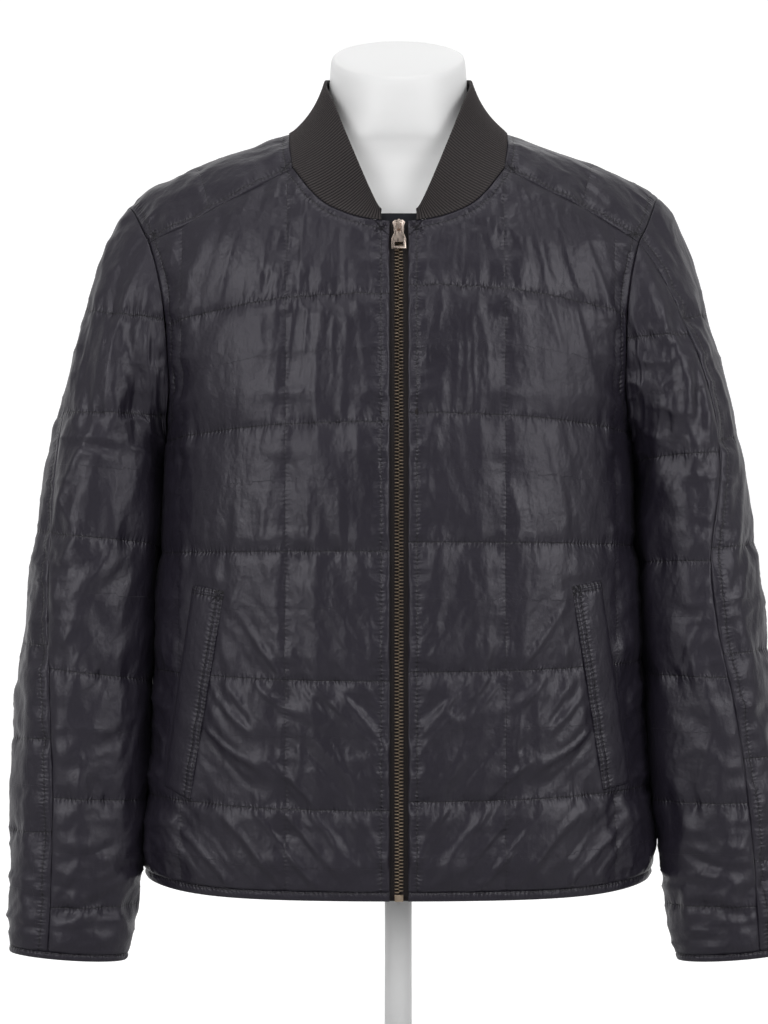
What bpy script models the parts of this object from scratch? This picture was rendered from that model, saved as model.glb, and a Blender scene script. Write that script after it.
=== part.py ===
"""A lightly padded, box-quilted zip jacket with a rib-knit collar, worn by a white limbless dress form.

Metres, +Z up. The front faces -Y and the wearer's left is +X. The origin is the centre of the
underside of the form's base. "Rise" is a height above the hem edge, and "across" a distance from
the centre plane. The trunk's cloth lies on the body surface, which runs over the shoulders, and
each sleeve on a surface of its own, which starts on the armhole.
"""

import math

import bmesh
import bpy
import numpy as np
from mathutils import Matrix

# Driving dimensions of the jacket.
HEM_Z = 0.185  # height of the hem edge above the surface the form stands on
CLOTH = 0.003  # thickness of the padded cloth
RIB = 0.0025  # thickness of the rib-knit collar
BAND = 0.0085  # height of the bound hem
HEM_LIFT = 0.009  # how much higher the hem edge runs at the side seams
CUFF_BAND = 0.0065
BAND_CLOTH = 0.0036
GAP = 0.0004  # space left between two pieces at a seam
ZIP_HALF_GAP = 0.0081  # half the space between the two front edges
NECK_RISE = 0.602  # top of the front edges
UNDERARM_RISE = 0.415
CENTRE_Y = 0.010  # plane of the side seams and of the shoulder ridge
RIDGE_HALF = 0.262  # half the width of the shoulder ridge, as if it ran on past the armhole
ROUND = 0.105  # drop over which the cloth turns from the ridge to the chest or the back
FULL = 0.18  # how much fuller than an ellipse the trunk's outline is
NECK_HALF = 0.101  # half the width of the neck where the neckline crosses the ridge
BACK_NECK_TURN = 0.66  # how far round the ridge the back neckline dips, in radians

# Trunk rings: rise, half width, depth in front of and behind the side seams' plane.
RINGS = np.array([
    (-0.010, 0.2305, 0.1270, 0.1120),
    (0.000, 0.2315, 0.1280, 0.1130),
    (0.040, 0.2365, 0.1310, 0.1160),
    (0.100, 0.2335, 0.1340, 0.1180),
    (0.150, 0.2300, 0.1350, 0.1190),
    (0.200, 0.2270, 0.1360, 0.1200),
    (0.310, 0.2200, 0.1370, 0.1220),
    (0.370, 0.2160, 0.1360, 0.1230),
    (0.415, 0.2165, 0.1340, 0.1240),
    (0.460, 0.2245, 0.1300, 0.1230),
    (0.520, 0.2400, 0.1220, 0.1200),
    (0.560, 0.2500, 0.1140, 0.1170),
    (0.600, 0.2580, 0.1040, 0.1130),
    (0.640, 0.2620, 0.0930, 0.1090),
    (0.700, 0.2620, 0.0800, 0.1040),
    (0.740, 0.2620, 0.0750, 0.1000),
])

# Shoulder ridge: across, rise.
RIDGE = np.array([
    (0.0000, 0.7250),
    (0.0500, 0.7160),
    (0.1010, 0.6945),
    (0.1400, 0.6780),
    (0.1755, 0.6665),
    (0.2100, 0.6520),
    (0.2300, 0.6425),
    (0.2450, 0.6320),
    (0.2530, 0.6245),
    (0.2620, 0.6130),
])

# Front neckline, from the front edge to the end of the shoulder seam: across, rise.
NECKLINE = np.array([
    (0.0081, 0.6020),
    (0.0225, 0.6035),
    (0.0433, 0.6085),
    (0.0625, 0.6170),
    (0.0765, 0.6290),
    (0.0880, 0.6440),
    (0.0955, 0.6545),
])

# Neckline from the ridge forward to the shoulder seam: across, rise.
NECKLINE_TOP = np.array([
    (0.1010, 0.6945),
    (0.0985, 0.6750),
    (0.0955, 0.6545),
])

# Shoulder seam, set forward of the ridge, from the neckline to the armhole: across, rise.
SHOULDER_SEAM = np.array([
    (0.0955, 0.6545),
    (0.1180, 0.6420),
    (0.1490, 0.6265),
    (0.1830, 0.6080),
    (0.2230, 0.5880),
])

# Armhole, from the underarm up the front to the shoulder seam: rise, across.
ARMHOLE_FRONT = np.array([
    (0.4150, 0.2165),
    (0.4185, 0.2145),
    (0.4300, 0.2105),
    (0.4500, 0.2075),
    (0.4850, 0.2075),
    (0.5190, 0.2090),
    (0.5500, 0.2130),
    (0.5740, 0.2185),
    (0.5880, 0.2230),
])

# The same on the back, from the underarm up to just below the ridge.
ARMHOLE_BACK = np.array([
    (0.4150, 0.2165),
    (0.4185, 0.2155),
    (0.4300, 0.2130),
    (0.4500, 0.2115),
    (0.4900, 0.2130),
    (0.5300, 0.2160),
    (0.5700, 0.2225),
    (0.6000, 0.2320),
    (0.6190, 0.2425),
])
ARMHOLE_TIP = 0.2485  # where the armhole crosses the ridge, across
ARMHOLE_SHIFT = {"right": 0.0045, "left": -0.0060}  # the tip sits this much further out

# Sleeves below the biceps: rise, outer edge and inner edge across, middle in Y, half depth.
SLEEVES = {
    "right": np.array([
        (-0.060, 0.3545, 0.2480, -0.030, 0.036),
        (-0.020, 0.3545, 0.2410, -0.027, 0.042),
        (0.041, 0.3550, 0.2350, -0.022, 0.050),
        (0.100, 0.3535, 0.2335, -0.017, 0.057),
        (0.150, 0.3520, 0.2312, -0.012, 0.062),
        (0.200, 0.3475, 0.2283, -0.008, 0.066),
        (0.245, 0.3425, 0.2252, -0.004, 0.069),
        (0.288, 0.3380, 0.2226, -0.001, 0.071),
        (0.331, 0.3320, 0.2204, 0.002, 0.072),
        (0.370, 0.3262, 0.2205, 0.004, 0.073),
    ]),
    "left": np.array([
        (-0.060, 0.3570, 0.2540, -0.030, 0.036),
        (-0.020, 0.3560, 0.2480, -0.027, 0.042),
        (0.041, 0.3530, 0.2400, -0.022, 0.050),
        (0.100, 0.3490, 0.2347, -0.017, 0.057),
        (0.150, 0.3455, 0.2313, -0.012, 0.062),
        (0.200, 0.3415, 0.2284, -0.008, 0.066),
        (0.245, 0.3380, 0.2252, -0.004, 0.069),
        (0.288, 0.3320, 0.2226, -0.001, 0.071),
        (0.331, 0.3260, 0.2206, 0.002, 0.072),
        (0.370, 0.3205, 0.2205, 0.004, 0.073),
    ]),
}
BICEPS_RISE = 0.370
CUFF_RISE = -0.0595
CUFF_TILT = 0.004  # the outer side of the cuff sits higher by this much

# Sleeve seams: rise, angle of the front seam, angle of the back seam. 0 is outwards, 90 forwards.
SLEEVE_SEAMS = {
    "right": np.array([
        (-0.060, 74.0, 255.0),
        (0.150, 70.0, 250.0),
        (0.223, 60.0, 246.0),
        (0.330, 47.0, 240.0),
        (0.370, 43.0, 236.0),
    ]),
    "left": np.array([
        (-0.060, 67.0, 258.0),
        (0.098, 69.0, 256.0),
        (0.174, 76.0, 254.0),
        (0.243, 86.0, 252.0),
        (0.297, 86.0, 250.0),
        (0.370, 68.0, 246.0),
    ]),
}

# Collar's upper edge, from the front end to the centre back: share of the way, across, Y, rise.
COLLAR_TOP = np.array([
    (0.00, 0.0172, -0.0935, 0.6125),
    (0.15, 0.0290, -0.0830, 0.6400),
    (0.30, 0.0435, -0.0660, 0.6760),
    (0.45, 0.0585, -0.0400, 0.7150),
    (0.60, 0.0675, -0.0040, 0.7400),
    (0.80, 0.0560, 0.0460, 0.7520),
    (1.00, 0.0000, 0.0740, 0.7560),
])
COLLAR_END = 0.0150  # the collar starts this far from the centre plane
COLLAR_HOLLOW = 0.004  # how far its height curves in, where it is this high or more:
COLLAR_FULL_HEIGHT = 0.060

# Pocket welts: the inner-top, outer-top, inner-bottom and outer-bottom corners, across and rise.
WELTS = {
    "right": ((0.1545, 0.2730), (0.1830, 0.2780), (0.1860, 0.0860), (0.2100, 0.0970)),
    "left": ((0.1530, 0.2770), (0.1795, 0.2820), (0.1820, 0.0950), (0.2070, 0.1000)),
}
WELT_CLOTH = 0.0015
WELT_LIFT = 0.0006  # space between a welt and its front

# Zip, measured out from the face of the fronts (below it is negative).
TAPE_FACE, TAPE_BACK = -0.0037, -0.0045
TAPE_INNER, TAPE_OUTER = 0.0043, 0.0165
CHAIN_FACE, CHAIN_BACK = -0.0010, -0.0045
CHAIN_HALF = 0.0039
GUARD_FACE, GUARD_BACK = -0.0050, -0.0066
GUARD_HALF = 0.0200
GUARD_TOP = 0.6105
BOX_HALF, BOX_HEIGHT = 0.0042, 0.0060
PULL_RISE = 0.5985  # height of the pull's hinge
HINGE_OUT = 0.0026  # and how far it stands out from the face of the fronts
SLIDER_ABOVE, SLIDER_BELOW = 0.0035, 0.0085
SLIDER_TOP_HALF, SLIDER_FOOT_HALF = 0.0055, 0.0045
SLIDER_FACE, SLIDER_BACK = 0.0012, -0.0007
BRIDGE_HALF, BRIDGE_THICK, BRIDGE_ROOM = 0.0010, 0.0012, 0.0027
BRIDGE_ABOVE, BRIDGE_BELOW = 0.0028, 0.0062
PULL_THICK = 0.0014
PULL_LENGTH = 0.0240
PULL_TOP_HALF, PULL_FOOT_HALF = 0.0036, 0.0064
EYE_HALF, EYE_LENGTH = 0.0017, 0.0085
SLOT_HALF, SLOT_LENGTH, SLOT_FOOT = 0.0040, 0.0040, 0.0020

# Dress form: rise, half width, depth in front of and behind the middle.
FORM_RINGS = np.array([
    (0.0700, 0.1600, 0.0880, 0.0780),
    (0.0720, 0.1800, 0.1010, 0.0900),
    (0.0800, 0.1950, 0.1100, 0.0980),
    (0.1000, 0.2040, 0.1160, 0.1030),
    (0.1600, 0.2080, 0.1190, 0.1050),
    (0.2400, 0.2060, 0.1210, 0.1070),
    (0.3200, 0.2020, 0.1220, 0.1090),
    (0.3700, 0.2000, 0.1220, 0.1100),
    (0.4150, 0.1990, 0.1200, 0.1100),
    (0.4500, 0.2020, 0.1160, 0.1090),
    (0.5000, 0.2130, 0.1090, 0.1060),
    (0.5500, 0.2260, 0.0980, 0.1000),
    (0.5850, 0.2310, 0.0870, 0.0930),
    (0.6100, 0.2290, 0.0760, 0.0840),
    (0.6280, 0.2180, 0.0670, 0.0750),
    (0.6430, 0.1970, 0.0600, 0.0680),
    (0.6560, 0.1660, 0.0560, 0.0620),
    (0.6680, 0.1300, 0.0540, 0.0580),
    (0.6790, 0.0960, 0.0550, 0.0540),
    (0.6900, 0.0760, 0.0580, 0.0530),
    (0.7100, 0.0665, 0.0590, 0.0520),
    (0.7350, 0.0640, 0.0590, 0.0520),
    (0.7550, 0.0628, 0.0585, 0.0515),
    (0.7630, 0.0618, 0.0575, 0.0505),
    (0.7665, 0.0600, 0.0558, 0.0487),
    (0.7680, 0.0550, 0.0508, 0.0437),
])
NECK_FOOT_RISE = 0.690  # the neck's rings tilt forwards from here up
NECK_TILT = math.radians(27)
FORM_SEGMENTS = 40
POLE_RADIUS = 0.0125
BASE_RADIUS, BASE_HEIGHT, BASE_EDGE = 0.140, 0.014, 0.004
TOUCH = 0.0003  # space between the form's own pieces

# Cells along each edge.
SIDE_CELLS, ARM_CELLS, TOP_CELLS = 11, 8, 4
NECK_CELLS, SHOULDER_CELLS = 5, 6
SLEEVE_CAP_CELLS, SLEEVE_CELLS = 7, 11
RING_CELLS = 2 * ARM_CELLS + TOP_CELLS
FRONT_SPLIT = {"right": 0, "left": 4}  # ring place of the front sleeve seam, counted from the tip
BACK_SPLIT = TOP_CELLS + ARM_CELLS + 2
DENSE = 240  # points on an edge before it is divided evenly
SIGN = {"right": -1.0, "left": 1.0}


# ---- curves and surfaces ----------------------------------------------------------------------

def smooth(at, knots, values):
    """A cubic through the rows, whose slope at each row follows the rows on both sides of it."""
    slopes = np.gradient(values, knots)
    at = np.clip(at, knots[0], knots[-1])
    k = np.clip(np.searchsorted(knots, at) - 1, 0, len(knots) - 2)
    span = knots[k + 1] - knots[k]
    t = (at - knots[k]) / span
    start = (1 + 2 * t) * (1 - t) ** 2 * values[k] + t * (1 - t) ** 2 * span * slopes[k]
    end = t * t * (3 - 2 * t) * values[k + 1] + t * t * (t - 1) * span * slopes[k + 1]
    return start + end


def unit(vectors):
    """The vectors at length one."""
    return vectors / np.maximum(np.linalg.norm(vectors, axis=-1, keepdims=True), 1e-12)


def ring(rise):
    """Half width, front depth and back depth of the trunk at this rise."""
    return [smooth(rise, RINGS[:, 0], RINGS[:, column]) for column in (1, 2, 3)]


def body(turn, wrap):
    """Point of the body surface: turn is the angle from the centre line to the side seam, 90
    degrees, and wrap the way down from the ridge, positive in front and negative behind."""
    lateral = np.sin(turn)
    ridge = smooth(np.abs(lateral) * RIDGE_HALF, RIDGE[:, 0], RIDGE[:, 1])
    down = np.abs(wrap)
    bend = np.minimum(down, math.pi / 2)
    rise = ridge - ROUND * (1 - np.cos(bend) + down - bend)
    half, front, back = ring(rise)
    depth = np.where(wrap > 0, -front, back) * np.sin(bend)
    outline = np.cos(turn) * (1 + FULL * lateral ** 2)
    return np.stack([half * lateral, CENTRE_Y + depth * outline, HEM_Z + rise], axis=-1)


def place(across, rise, face=1.0):
    """Turn and wrap of the point this far across and this high, in front or, at face -1, behind."""
    across, rise = np.broadcast_arrays(np.asarray(across, float), np.asarray(rise, float))
    lateral = np.clip(across / ring(rise)[0], -1, 1)
    ridge = smooth(np.abs(lateral) * RIDGE_HALF, RIDGE[:, 0], RIDGE[:, 1])
    fall = np.maximum((ridge - rise) / ROUND, 0)
    wrap = np.where(fall < 1, np.arccos(np.clip(1 - fall, -1, 1)), math.pi / 2 + fall - 1)
    return np.stack([np.arcsin(lateral), face * wrap], axis=-1)


def body_normal(params):
    """Outward direction of the body surface, from small steps either way."""
    step = 1e-3
    turn, wrap = params[..., 0], params[..., 1]
    along = body(turn + step, wrap) - body(turn - step, wrap)
    down = body(turn, wrap + step) - body(turn, wrap - step)
    return unit(np.cross(down, along))


def through(rows):
    """A smooth dense line through rows of turn and wrap."""
    gaps = np.linalg.norm(np.diff(body(*rows.T), axis=0), axis=1)
    length = np.concatenate([[0], np.cumsum(gaps)])
    at = np.linspace(0, length[-1], DENSE)
    return np.stack([smooth(at, length, rows[:, k]) for k in (0, 1)], axis=-1)


def divide(line, cells):
    """The dense line at equal steps of its length on the body surface."""
    gaps = np.linalg.norm(np.diff(body(*line.T), axis=0), axis=1)
    length = np.concatenate([[0], np.cumsum(gaps)])
    at = np.linspace(0, length[-1], cells + 1)
    return np.stack([np.interp(at, length, line[:, k]) for k in (0, 1)], axis=-1)


def join(*lines):
    """Lines end to end, with each shared point once."""
    return np.concatenate([lines[0]] + [line[1:] for line in lines[1:]])


def patch(foot, top, near, far):
    """Grid between four edges: a sheet ruled from foot to top, bent at each side by what that
    edge strays from straight, which fades with the cube of the distance."""
    u = np.linspace(0, 1, len(foot))[None, :, None]
    v = np.linspace(0, 1, len(near))[:, None, None]
    ruled = (1 - v) * foot[None] + v * top[None]
    stray_near = near[:, None] - ((1 - v) * foot[0] + v * top[0])
    stray_far = far[:, None] - ((1 - v) * foot[-1] + v * top[-1])
    return ruled + (1 - u) ** 3 * stray_near + u ** 3 * stray_far


# ---- edges of the trunk's pieces, for the wearer's left; the right is mirrored -------------------

def hem_line(start, end, face, rise, cells):
    """The line at this rise from one turn to another, lifted towards the side seam."""
    lateral = np.sin(np.linspace(start, end, DENSE))
    rise = rise + HEM_LIFT * lateral ** 6
    return divide(place(lateral * ring(rise)[0], rise, face), cells)


def side_seam(face, cells):
    rise = np.linspace(BAND + HEM_LIFT, UNDERARM_RISE, DENSE)
    return divide(place(ring(rise)[0], rise, face), cells)


def shifted(rows, side):
    """Armhole rows moved out in step with their height."""
    share = (rows[:, 0] - UNDERARM_RISE) / (0.6245 - UNDERARM_RISE)
    return rows[:, 1] + ARMHOLE_SHIFT[side] * share


def armhole_front(side, cells):
    """From the underarm up to the shoulder seam."""
    return divide(through(place(shifted(ARMHOLE_FRONT, side), ARMHOLE_FRONT[:, 0])), cells)


def armhole_tip(side):
    tip = ARMHOLE_TIP + ARMHOLE_SHIFT[side]
    return np.array([(math.asin(tip / RIDGE_HALF), 0.0)])


def armhole_back(side, cells):
    """From the underarm up the back to the ridge."""
    rows = place(shifted(ARMHOLE_BACK, side), ARMHOLE_BACK[:, 0], -1.0)
    return divide(through(np.concatenate([rows, armhole_tip(side)])), cells)


def armhole_top(side, cells):
    """From the ridge forward to the shoulder seam."""
    end = ARMHOLE_FRONT[-1:]
    low = place(shifted(end, side), end[:, 0])
    middle = place(shifted(end, side) + 0.0105, end[:, 0] + 0.021)
    return divide(through(np.concatenate([armhole_tip(side), middle, low])), cells)


def shoulder_seam(side, cells):
    """From the neckline to the armhole."""
    rows = place(SHOULDER_SEAM[:, 0], SHOULDER_SEAM[:, 1])
    rows[-1] = place(shifted(ARMHOLE_FRONT[-1:], side), ARMHOLE_FRONT[-1:, 0])[0]
    return divide(through(rows), cells)


def neckline_front(cells):
    """From the front edge to the shoulder seam."""
    return divide(through(place(NECKLINE[:, 0], NECKLINE[:, 1])), cells)


def neckline_back(cells):
    """From the ridge to the centre back, a quarter of an oval."""
    t = np.linspace(0, math.pi / 2, 9)
    lateral = NECK_HALF / RIDGE_HALF * np.cos(t)
    return divide(through(np.stack([np.arcsin(lateral), -BACK_NECK_TURN * np.sin(t)], -1)), cells)


def neckline_top(cells):
    """From the ridge forward to the shoulder seam."""
    rows = place(NECKLINE_TOP[:, 0], NECKLINE_TOP[:, 1])
    rows[0] = (math.asin(NECK_HALF / RIDGE_HALF), 0.0)
    return divide(through(rows), cells)


def ridge_line(side, cells):
    """From the neckline out to the armhole along the ridge."""
    ends = np.array([(math.asin(NECK_HALF / RIDGE_HALF), 0.0), armhole_tip(side)[0]])
    return divide(np.linspace(ends[0], ends[1], DENSE), cells)


def front_edge(cells):
    rise = np.linspace(BAND, NECK_RISE, DENSE)
    return divide(place(ZIP_HALF_GAP, rise), cells)


def front_params(side):
    """Grid of the front: across from the zip to the side, up from the band to the neck."""
    start = place(ZIP_HALF_GAP, BAND)[0]
    foot = hem_line(start, math.pi / 2, 1.0, BAND, NECK_CELLS + SHOULDER_CELLS)
    top = join(neckline_front(NECK_CELLS), shoulder_seam(side, SHOULDER_CELLS))
    far = join(side_seam(1.0, SIDE_CELLS), armhole_front(side, ARM_CELLS))
    return patch(foot, top, front_edge(SIDE_CELLS + ARM_CELLS), far)


def back_params():
    """Grid of the back: across from the right side to the left, up to the ridge and, in the
    shoulder columns only, over it to the shoulder seam. The middle of the last rows is empty."""
    columns = 2 * (NECK_CELLS + SHOULDER_CELLS) + 1
    rows = SIDE_CELLS + ARM_CELLS + TOP_CELLS + 1
    grid = np.full((rows, columns, 2), np.nan)
    edges = {}
    for side in SIGN:
        flip = np.array([SIGN[side], 1.0])
        ridge = ridge_line(side, SHOULDER_CELLS)
        far = join(side_seam(-1.0, SIDE_CELLS), armhole_back(side, ARM_CELLS))
        edges[side] = (join(ridge[::-1], neckline_back(NECK_CELLS)) * flip, far * flip)
        seam = shoulder_seam(side, SHOULDER_CELLS)
        shoulder = patch(ridge, seam, neckline_top(TOP_CELLS), armhole_top(side, TOP_CELLS)) * flip
        if side == "left":
            grid[-TOP_CELLS - 1:, -SHOULDER_CELLS - 1:] = shoulder
        else:
            grid[-TOP_CELLS - 1:, :SHOULDER_CELLS + 1] = shoulder[:, ::-1]
    foot = hem_line(-math.pi / 2, math.pi / 2, -1.0, BAND, columns - 1)
    top = join(edges["right"][0], edges["left"][0][::-1])
    grid[:-TOP_CELLS] = patch(foot, top, edges["right"][1], edges["left"][1])
    return grid


# ---- sleeves --------------------------------------------------------------------------------------

def armhole_ring(side):
    """Turn and wrap round the armhole, from the tip down the front and up the back to the tip."""
    top = armhole_top(side, TOP_CELLS)
    front = armhole_front(side, ARM_CELLS)[::-1]
    back = armhole_back(side, ARM_CELLS)
    return join(top, front, back)


def sleeve_point(side, angle, rise):
    """Point of the sleeve below the biceps, its section an ellipse."""
    rows = SLEEVES[side]
    outer, inner, middle, depth = [smooth(rise, rows[:, 0], rows[:, k]) for k in (1, 2, 3, 4)]
    fade = np.clip((BICEPS_RISE - rise) / (BICEPS_RISE - CUFF_RISE), 0, 1)
    across = (outer + inner) / 2 + (outer - inner) / 2 * np.cos(angle)
    height = rise + CUFF_TILT * np.cos(angle) * fade
    return np.stack([across, middle - depth * np.sin(angle), HEM_Z + height], axis=-1)


def seam_angles(side, rise):
    """Angle of each ring place at this rise, spread evenly between the two sleeve seams."""
    rows = SLEEVE_SEAMS[side]
    first, second = [np.radians(smooth(rise, rows[:, 0], rows[:, k])) for k in (1, 2)]
    place_on_ring = np.arange(RING_CELLS + 1)
    start, split = FRONT_SPLIT[side], BACK_SPLIT
    inner = first + (second - first) * (place_on_ring - start) / (split - start)
    lap = RING_CELLS - split + start
    ahead = second + (first + 2 * math.pi - second) * (place_on_ring - split) / lap
    behind = ahead + (first + 2 * math.pi - second) * RING_CELLS / lap - 2 * math.pi
    return np.where(place_on_ring < start, behind, np.where(place_on_ring > split, ahead, inner))


def sleeve_grid(side):
    """Rows from the armhole to the cuff band, each once round from the tip.

    Above the biceps every line of the grid is a cubic, which leaves the armhole outwards and
    meets the biceps in line with the sleeve below."""
    start = body(*armhole_ring(side).T)
    gaps = np.linalg.norm(np.diff(start, axis=0), axis=1)
    length = np.concatenate([[0], np.cumsum(gaps)])
    bottom = TOP_CELLS + ARM_CELLS
    round_front = math.pi * length / length[bottom]
    round_back = math.pi * (1 + (length - length[bottom]) / (length[-1] - length[bottom]))
    around = np.where(length <= length[bottom], round_front, round_back)
    open_out = 0.75 * (1 - ((1 - np.cos(around)) / 2) ** 2)
    leave = unit(np.stack([open_out, -0.25 * np.sin(around), -0.8 - 0.1 * open_out], axis=-1))
    angles = seam_angles(side, np.float64(BICEPS_RISE))
    end = sleeve_point(side, angles, BICEPS_RISE)
    step = 0.01
    below = sleeve_point(side, seam_angles(side, np.float64(BICEPS_RISE - step)), BICEPS_RISE - step)
    chord = np.linalg.norm(end - start, axis=1)[:, None]
    out, arrive = 0.53 * chord * leave, chord * (below - end) / step
    t = np.linspace(0, 1, SLEEVE_CAP_CELLS + 1)[:, None, None]
    cap = (
        (2 * t ** 3 - 3 * t ** 2 + 1) * start
        + (t ** 3 - 2 * t ** 2 + t) * out
        + (3 * t ** 2 - 2 * t ** 3) * end
        + (t ** 3 - t ** 2) * arrive
    )
    rises = np.linspace(BICEPS_RISE, CUFF_RISE + CUFF_BAND, SLEEVE_CELLS + 1)[1:]
    tube = np.array([sleeve_point(side, seam_angles(side, rise), rise) for rise in rises])
    return np.concatenate([cap, tube])


def ring_normals(grid):
    """Outward directions on a grid whose first and last columns are the same line."""
    around = np.roll(grid[:, :-1], -1, axis=1) - np.roll(grid[:, :-1], 1, axis=1)
    along = np.gradient(grid[:, :-1], axis=0)
    normals = unit(np.cross(around, along))
    return np.concatenate([normals, normals[:, :1]], axis=1)


def armhole_lean(side, sleeve_normals):
    """Direction that the walls on both sides of the armhole share: midway between theirs where
    they turn towards each other, and None of it where they fold away."""
    trunk = body_normal(armhole_ring(side))
    agree = np.clip(np.sum(trunk * sleeve_normals, axis=1, keepdims=True) / 0.4, 0, 1)
    return unit(trunk + agree * sleeve_normals), unit(sleeve_normals + agree * trunk)


# ---- making meshes ------------------------------------------------------------------------------

def material(name, colour, roughness, metallic=0.0):
    made = bpy.data.materials.get(name) or bpy.data.materials.new(name)
    made.use_nodes = True
    shader = made.node_tree.nodes["Principled BSDF"]
    shader.inputs["Base Color"].default_value = (*colour, 1.0)
    shader.inputs["Roughness"].default_value = roughness
    shader.inputs["Metallic"].default_value = metallic
    return made


def nylon():
    return material("quilted_nylon", (0.048, 0.045, 0.051), 0.42)


def rib_knit():
    return material("rib_knit", (0.030, 0.026, 0.026), 0.95)


def zip_tape_cloth():
    return material("zip_tape", (0.022, 0.017, 0.017), 0.85)


def brass():
    return material("antique_brass", (0.28, 0.20, 0.13), 0.38, 1.0)


def nickel():
    return material("rose_nickel", (0.62, 0.50, 0.43), 0.28, 1.0)


def form_white():
    return material("form_white", (0.86, 0.86, 0.85), 0.45)


def add_object(name, points, faces, finish):
    mesh = bpy.data.meshes.new(name)
    mesh.from_pydata(points, [], faces)
    mesh.materials.append(finish)
    mesh.shade_smooth()
    made = bpy.data.objects.new(name, mesh)
    bpy.context.scene.collection.objects.link(made)
    return made


def trimmed(grid, closed=False):
    """The grid with its open edges drawn in by half the seam gap."""
    grid = grid.copy()
    for edge, inside in ((0, 1), (-1, -2)):
        grid[edge] += unit(grid[inside] - grid[edge]) * GAP / 2
    if not closed:
        for edge, inside in ((0, 1), (-1, -2)):
            grid[:, edge] += unit(grid[:, inside] - grid[:, edge]) * GAP / 2
    return grid


def trimmed_back(grid):
    """The same for the back, whose neckline is the step in its grid."""
    grid = trimmed(grid)
    neck = slice(SHOULDER_CELLS + 1, -SHOULDER_CELLS - 1)
    ridge = -TOP_CELLS - 1
    grid[ridge, neck] += unit(grid[ridge - 1, neck] - grid[ridge, neck]) * GAP / 2
    for edge, inside in ((SHOULDER_CELLS, SHOULDER_CELLS - 1), (-SHOULDER_CELLS - 1, -SHOULDER_CELLS)):
        grid[ridge:, edge] += unit(grid[ridge:, inside] - grid[ridge:, edge]) * GAP / 2
    return grid


def wall(name, face, back, finish, closed=False):
    """A closed wall between two grids, with a rim along every edge that has one cell only.
    Cells with an empty corner are left out. A closed wall's last column is its first."""
    if closed:
        face, back = face[:, :-1], back[:, :-1]
    index = np.arange(face.shape[0] * face.shape[1]).reshape(face.shape[:2])
    if closed:
        index = np.concatenate([index, index[:, :1]], axis=1)
    cells = np.stack([index[:-1, :-1], index[:-1, 1:], index[1:, 1:], index[1:, :-1]], -1)
    cells = cells.reshape(-1, 4)
    points = face.reshape(-1, 3)
    cells = cells[np.isfinite(points[cells]).all(axis=(1, 2))]
    used, cells = np.unique(cells, return_inverse=True)
    cells = cells.reshape(-1, 4)
    count = len(used)
    edges = np.stack([cells, np.roll(cells, -1, axis=1)], axis=-1).reshape(-1, 2)
    codes = edges[:, 0] * count + edges[:, 1]
    open_edges = edges[~np.isin(codes, edges[:, 1] * count + edges[:, 0])]
    first, second = open_edges.T
    rims = np.stack([second, first, first + count, second + count], axis=-1)
    faces = np.concatenate([cells, cells[:, ::-1] + count, rims])
    both = np.concatenate([points[used], back.reshape(-1, 3)[used]])
    made = add_object(name, both.tolist(), faces.tolist(), finish)
    work = bmesh.new()
    work.from_mesh(made.data)
    if work.calc_volume(signed=True) < 0:
        bmesh.ops.reverse_faces(work, faces=work.faces)
    work.to_mesh(made.data)
    work.free()
    return made


def trunk_wall(name, params, leans, trim):
    """A piece of the trunk. leans gives the shared direction for the armhole part of an edge."""
    face = trim(body(params[..., 0], params[..., 1]))
    lean = body_normal(params)
    for where, directions in leans:
        lean[where] = directions
    return wall(name, face, face - CLOTH * lean, nylon())


def mirror(points, side):
    return points * np.array([SIGN[side], 1.0, 1.0])


# ---- the jacket's pieces -------------------------------------------------------------------------

def make_trunk_and_sleeves():
    back = back_params()
    back_leans = []
    for side in SIGN:
        grid = sleeve_grid(side)
        normals = ring_normals(grid)
        trunk_lean, sleeve_lean = armhole_lean(side, normals[0])
        normals[0] = sleeve_lean
        front = front_params(side)
        bottom = TOP_CELLS + ARM_CELLS
        front_lean = trunk_lean[TOP_CELLS:bottom + 1][::-1]
        params = front * np.array([SIGN[side], 1.0])
        place_of_front = (slice(SIDE_CELLS, None), -1)
        trunk_wall("front_" + side, params, [(place_of_front, mirror(front_lean, side))], trimmed)
        around_back = np.concatenate([trunk_lean[bottom:], trunk_lean[1:TOP_CELLS + 1]])
        column = {"right": 0, "left": -1}[side]
        back_leans.append(((slice(SIDE_CELLS, None), column), mirror(around_back, side)))
        make_sleeve(side, grid, normals)
    trunk_wall("back", back, back_leans, trimmed_back)


def make_sleeve(side, grid, normals):
    """The outer and inner pieces, cut from the grid at its two seams."""
    start, split = FRONT_SPLIT[side], BACK_SPLIT
    lap = np.concatenate([np.arange(split, RING_CELLS), np.arange(0, start + 1)])
    pieces = {"sleeve_inner_": np.arange(start, split + 1), "sleeve_outer_": lap}
    for name, columns in pieces.items():
        face = mirror(trimmed(grid[:, columns]), side)
        lean = mirror(normals[:, columns], side)
        wall(name + side, face, face - CLOTH * lean, nylon())
    edge = CUFF_RISE + CUFF_BAND
    band = [sleeve_point(side, seam_angles(side, np.float64(edge)), rise) for rise in (edge, CUFF_RISE)]
    band = np.array(band)
    lean = mirror(ring_normals(band), side)
    middle = mirror(trimmed(band, True), side)
    half = (BAND_CLOTH - CLOTH) / 2
    wall("cuff_band_" + side, middle + half * lean, middle - (CLOTH + half) * lean, nylon(), True)


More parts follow.
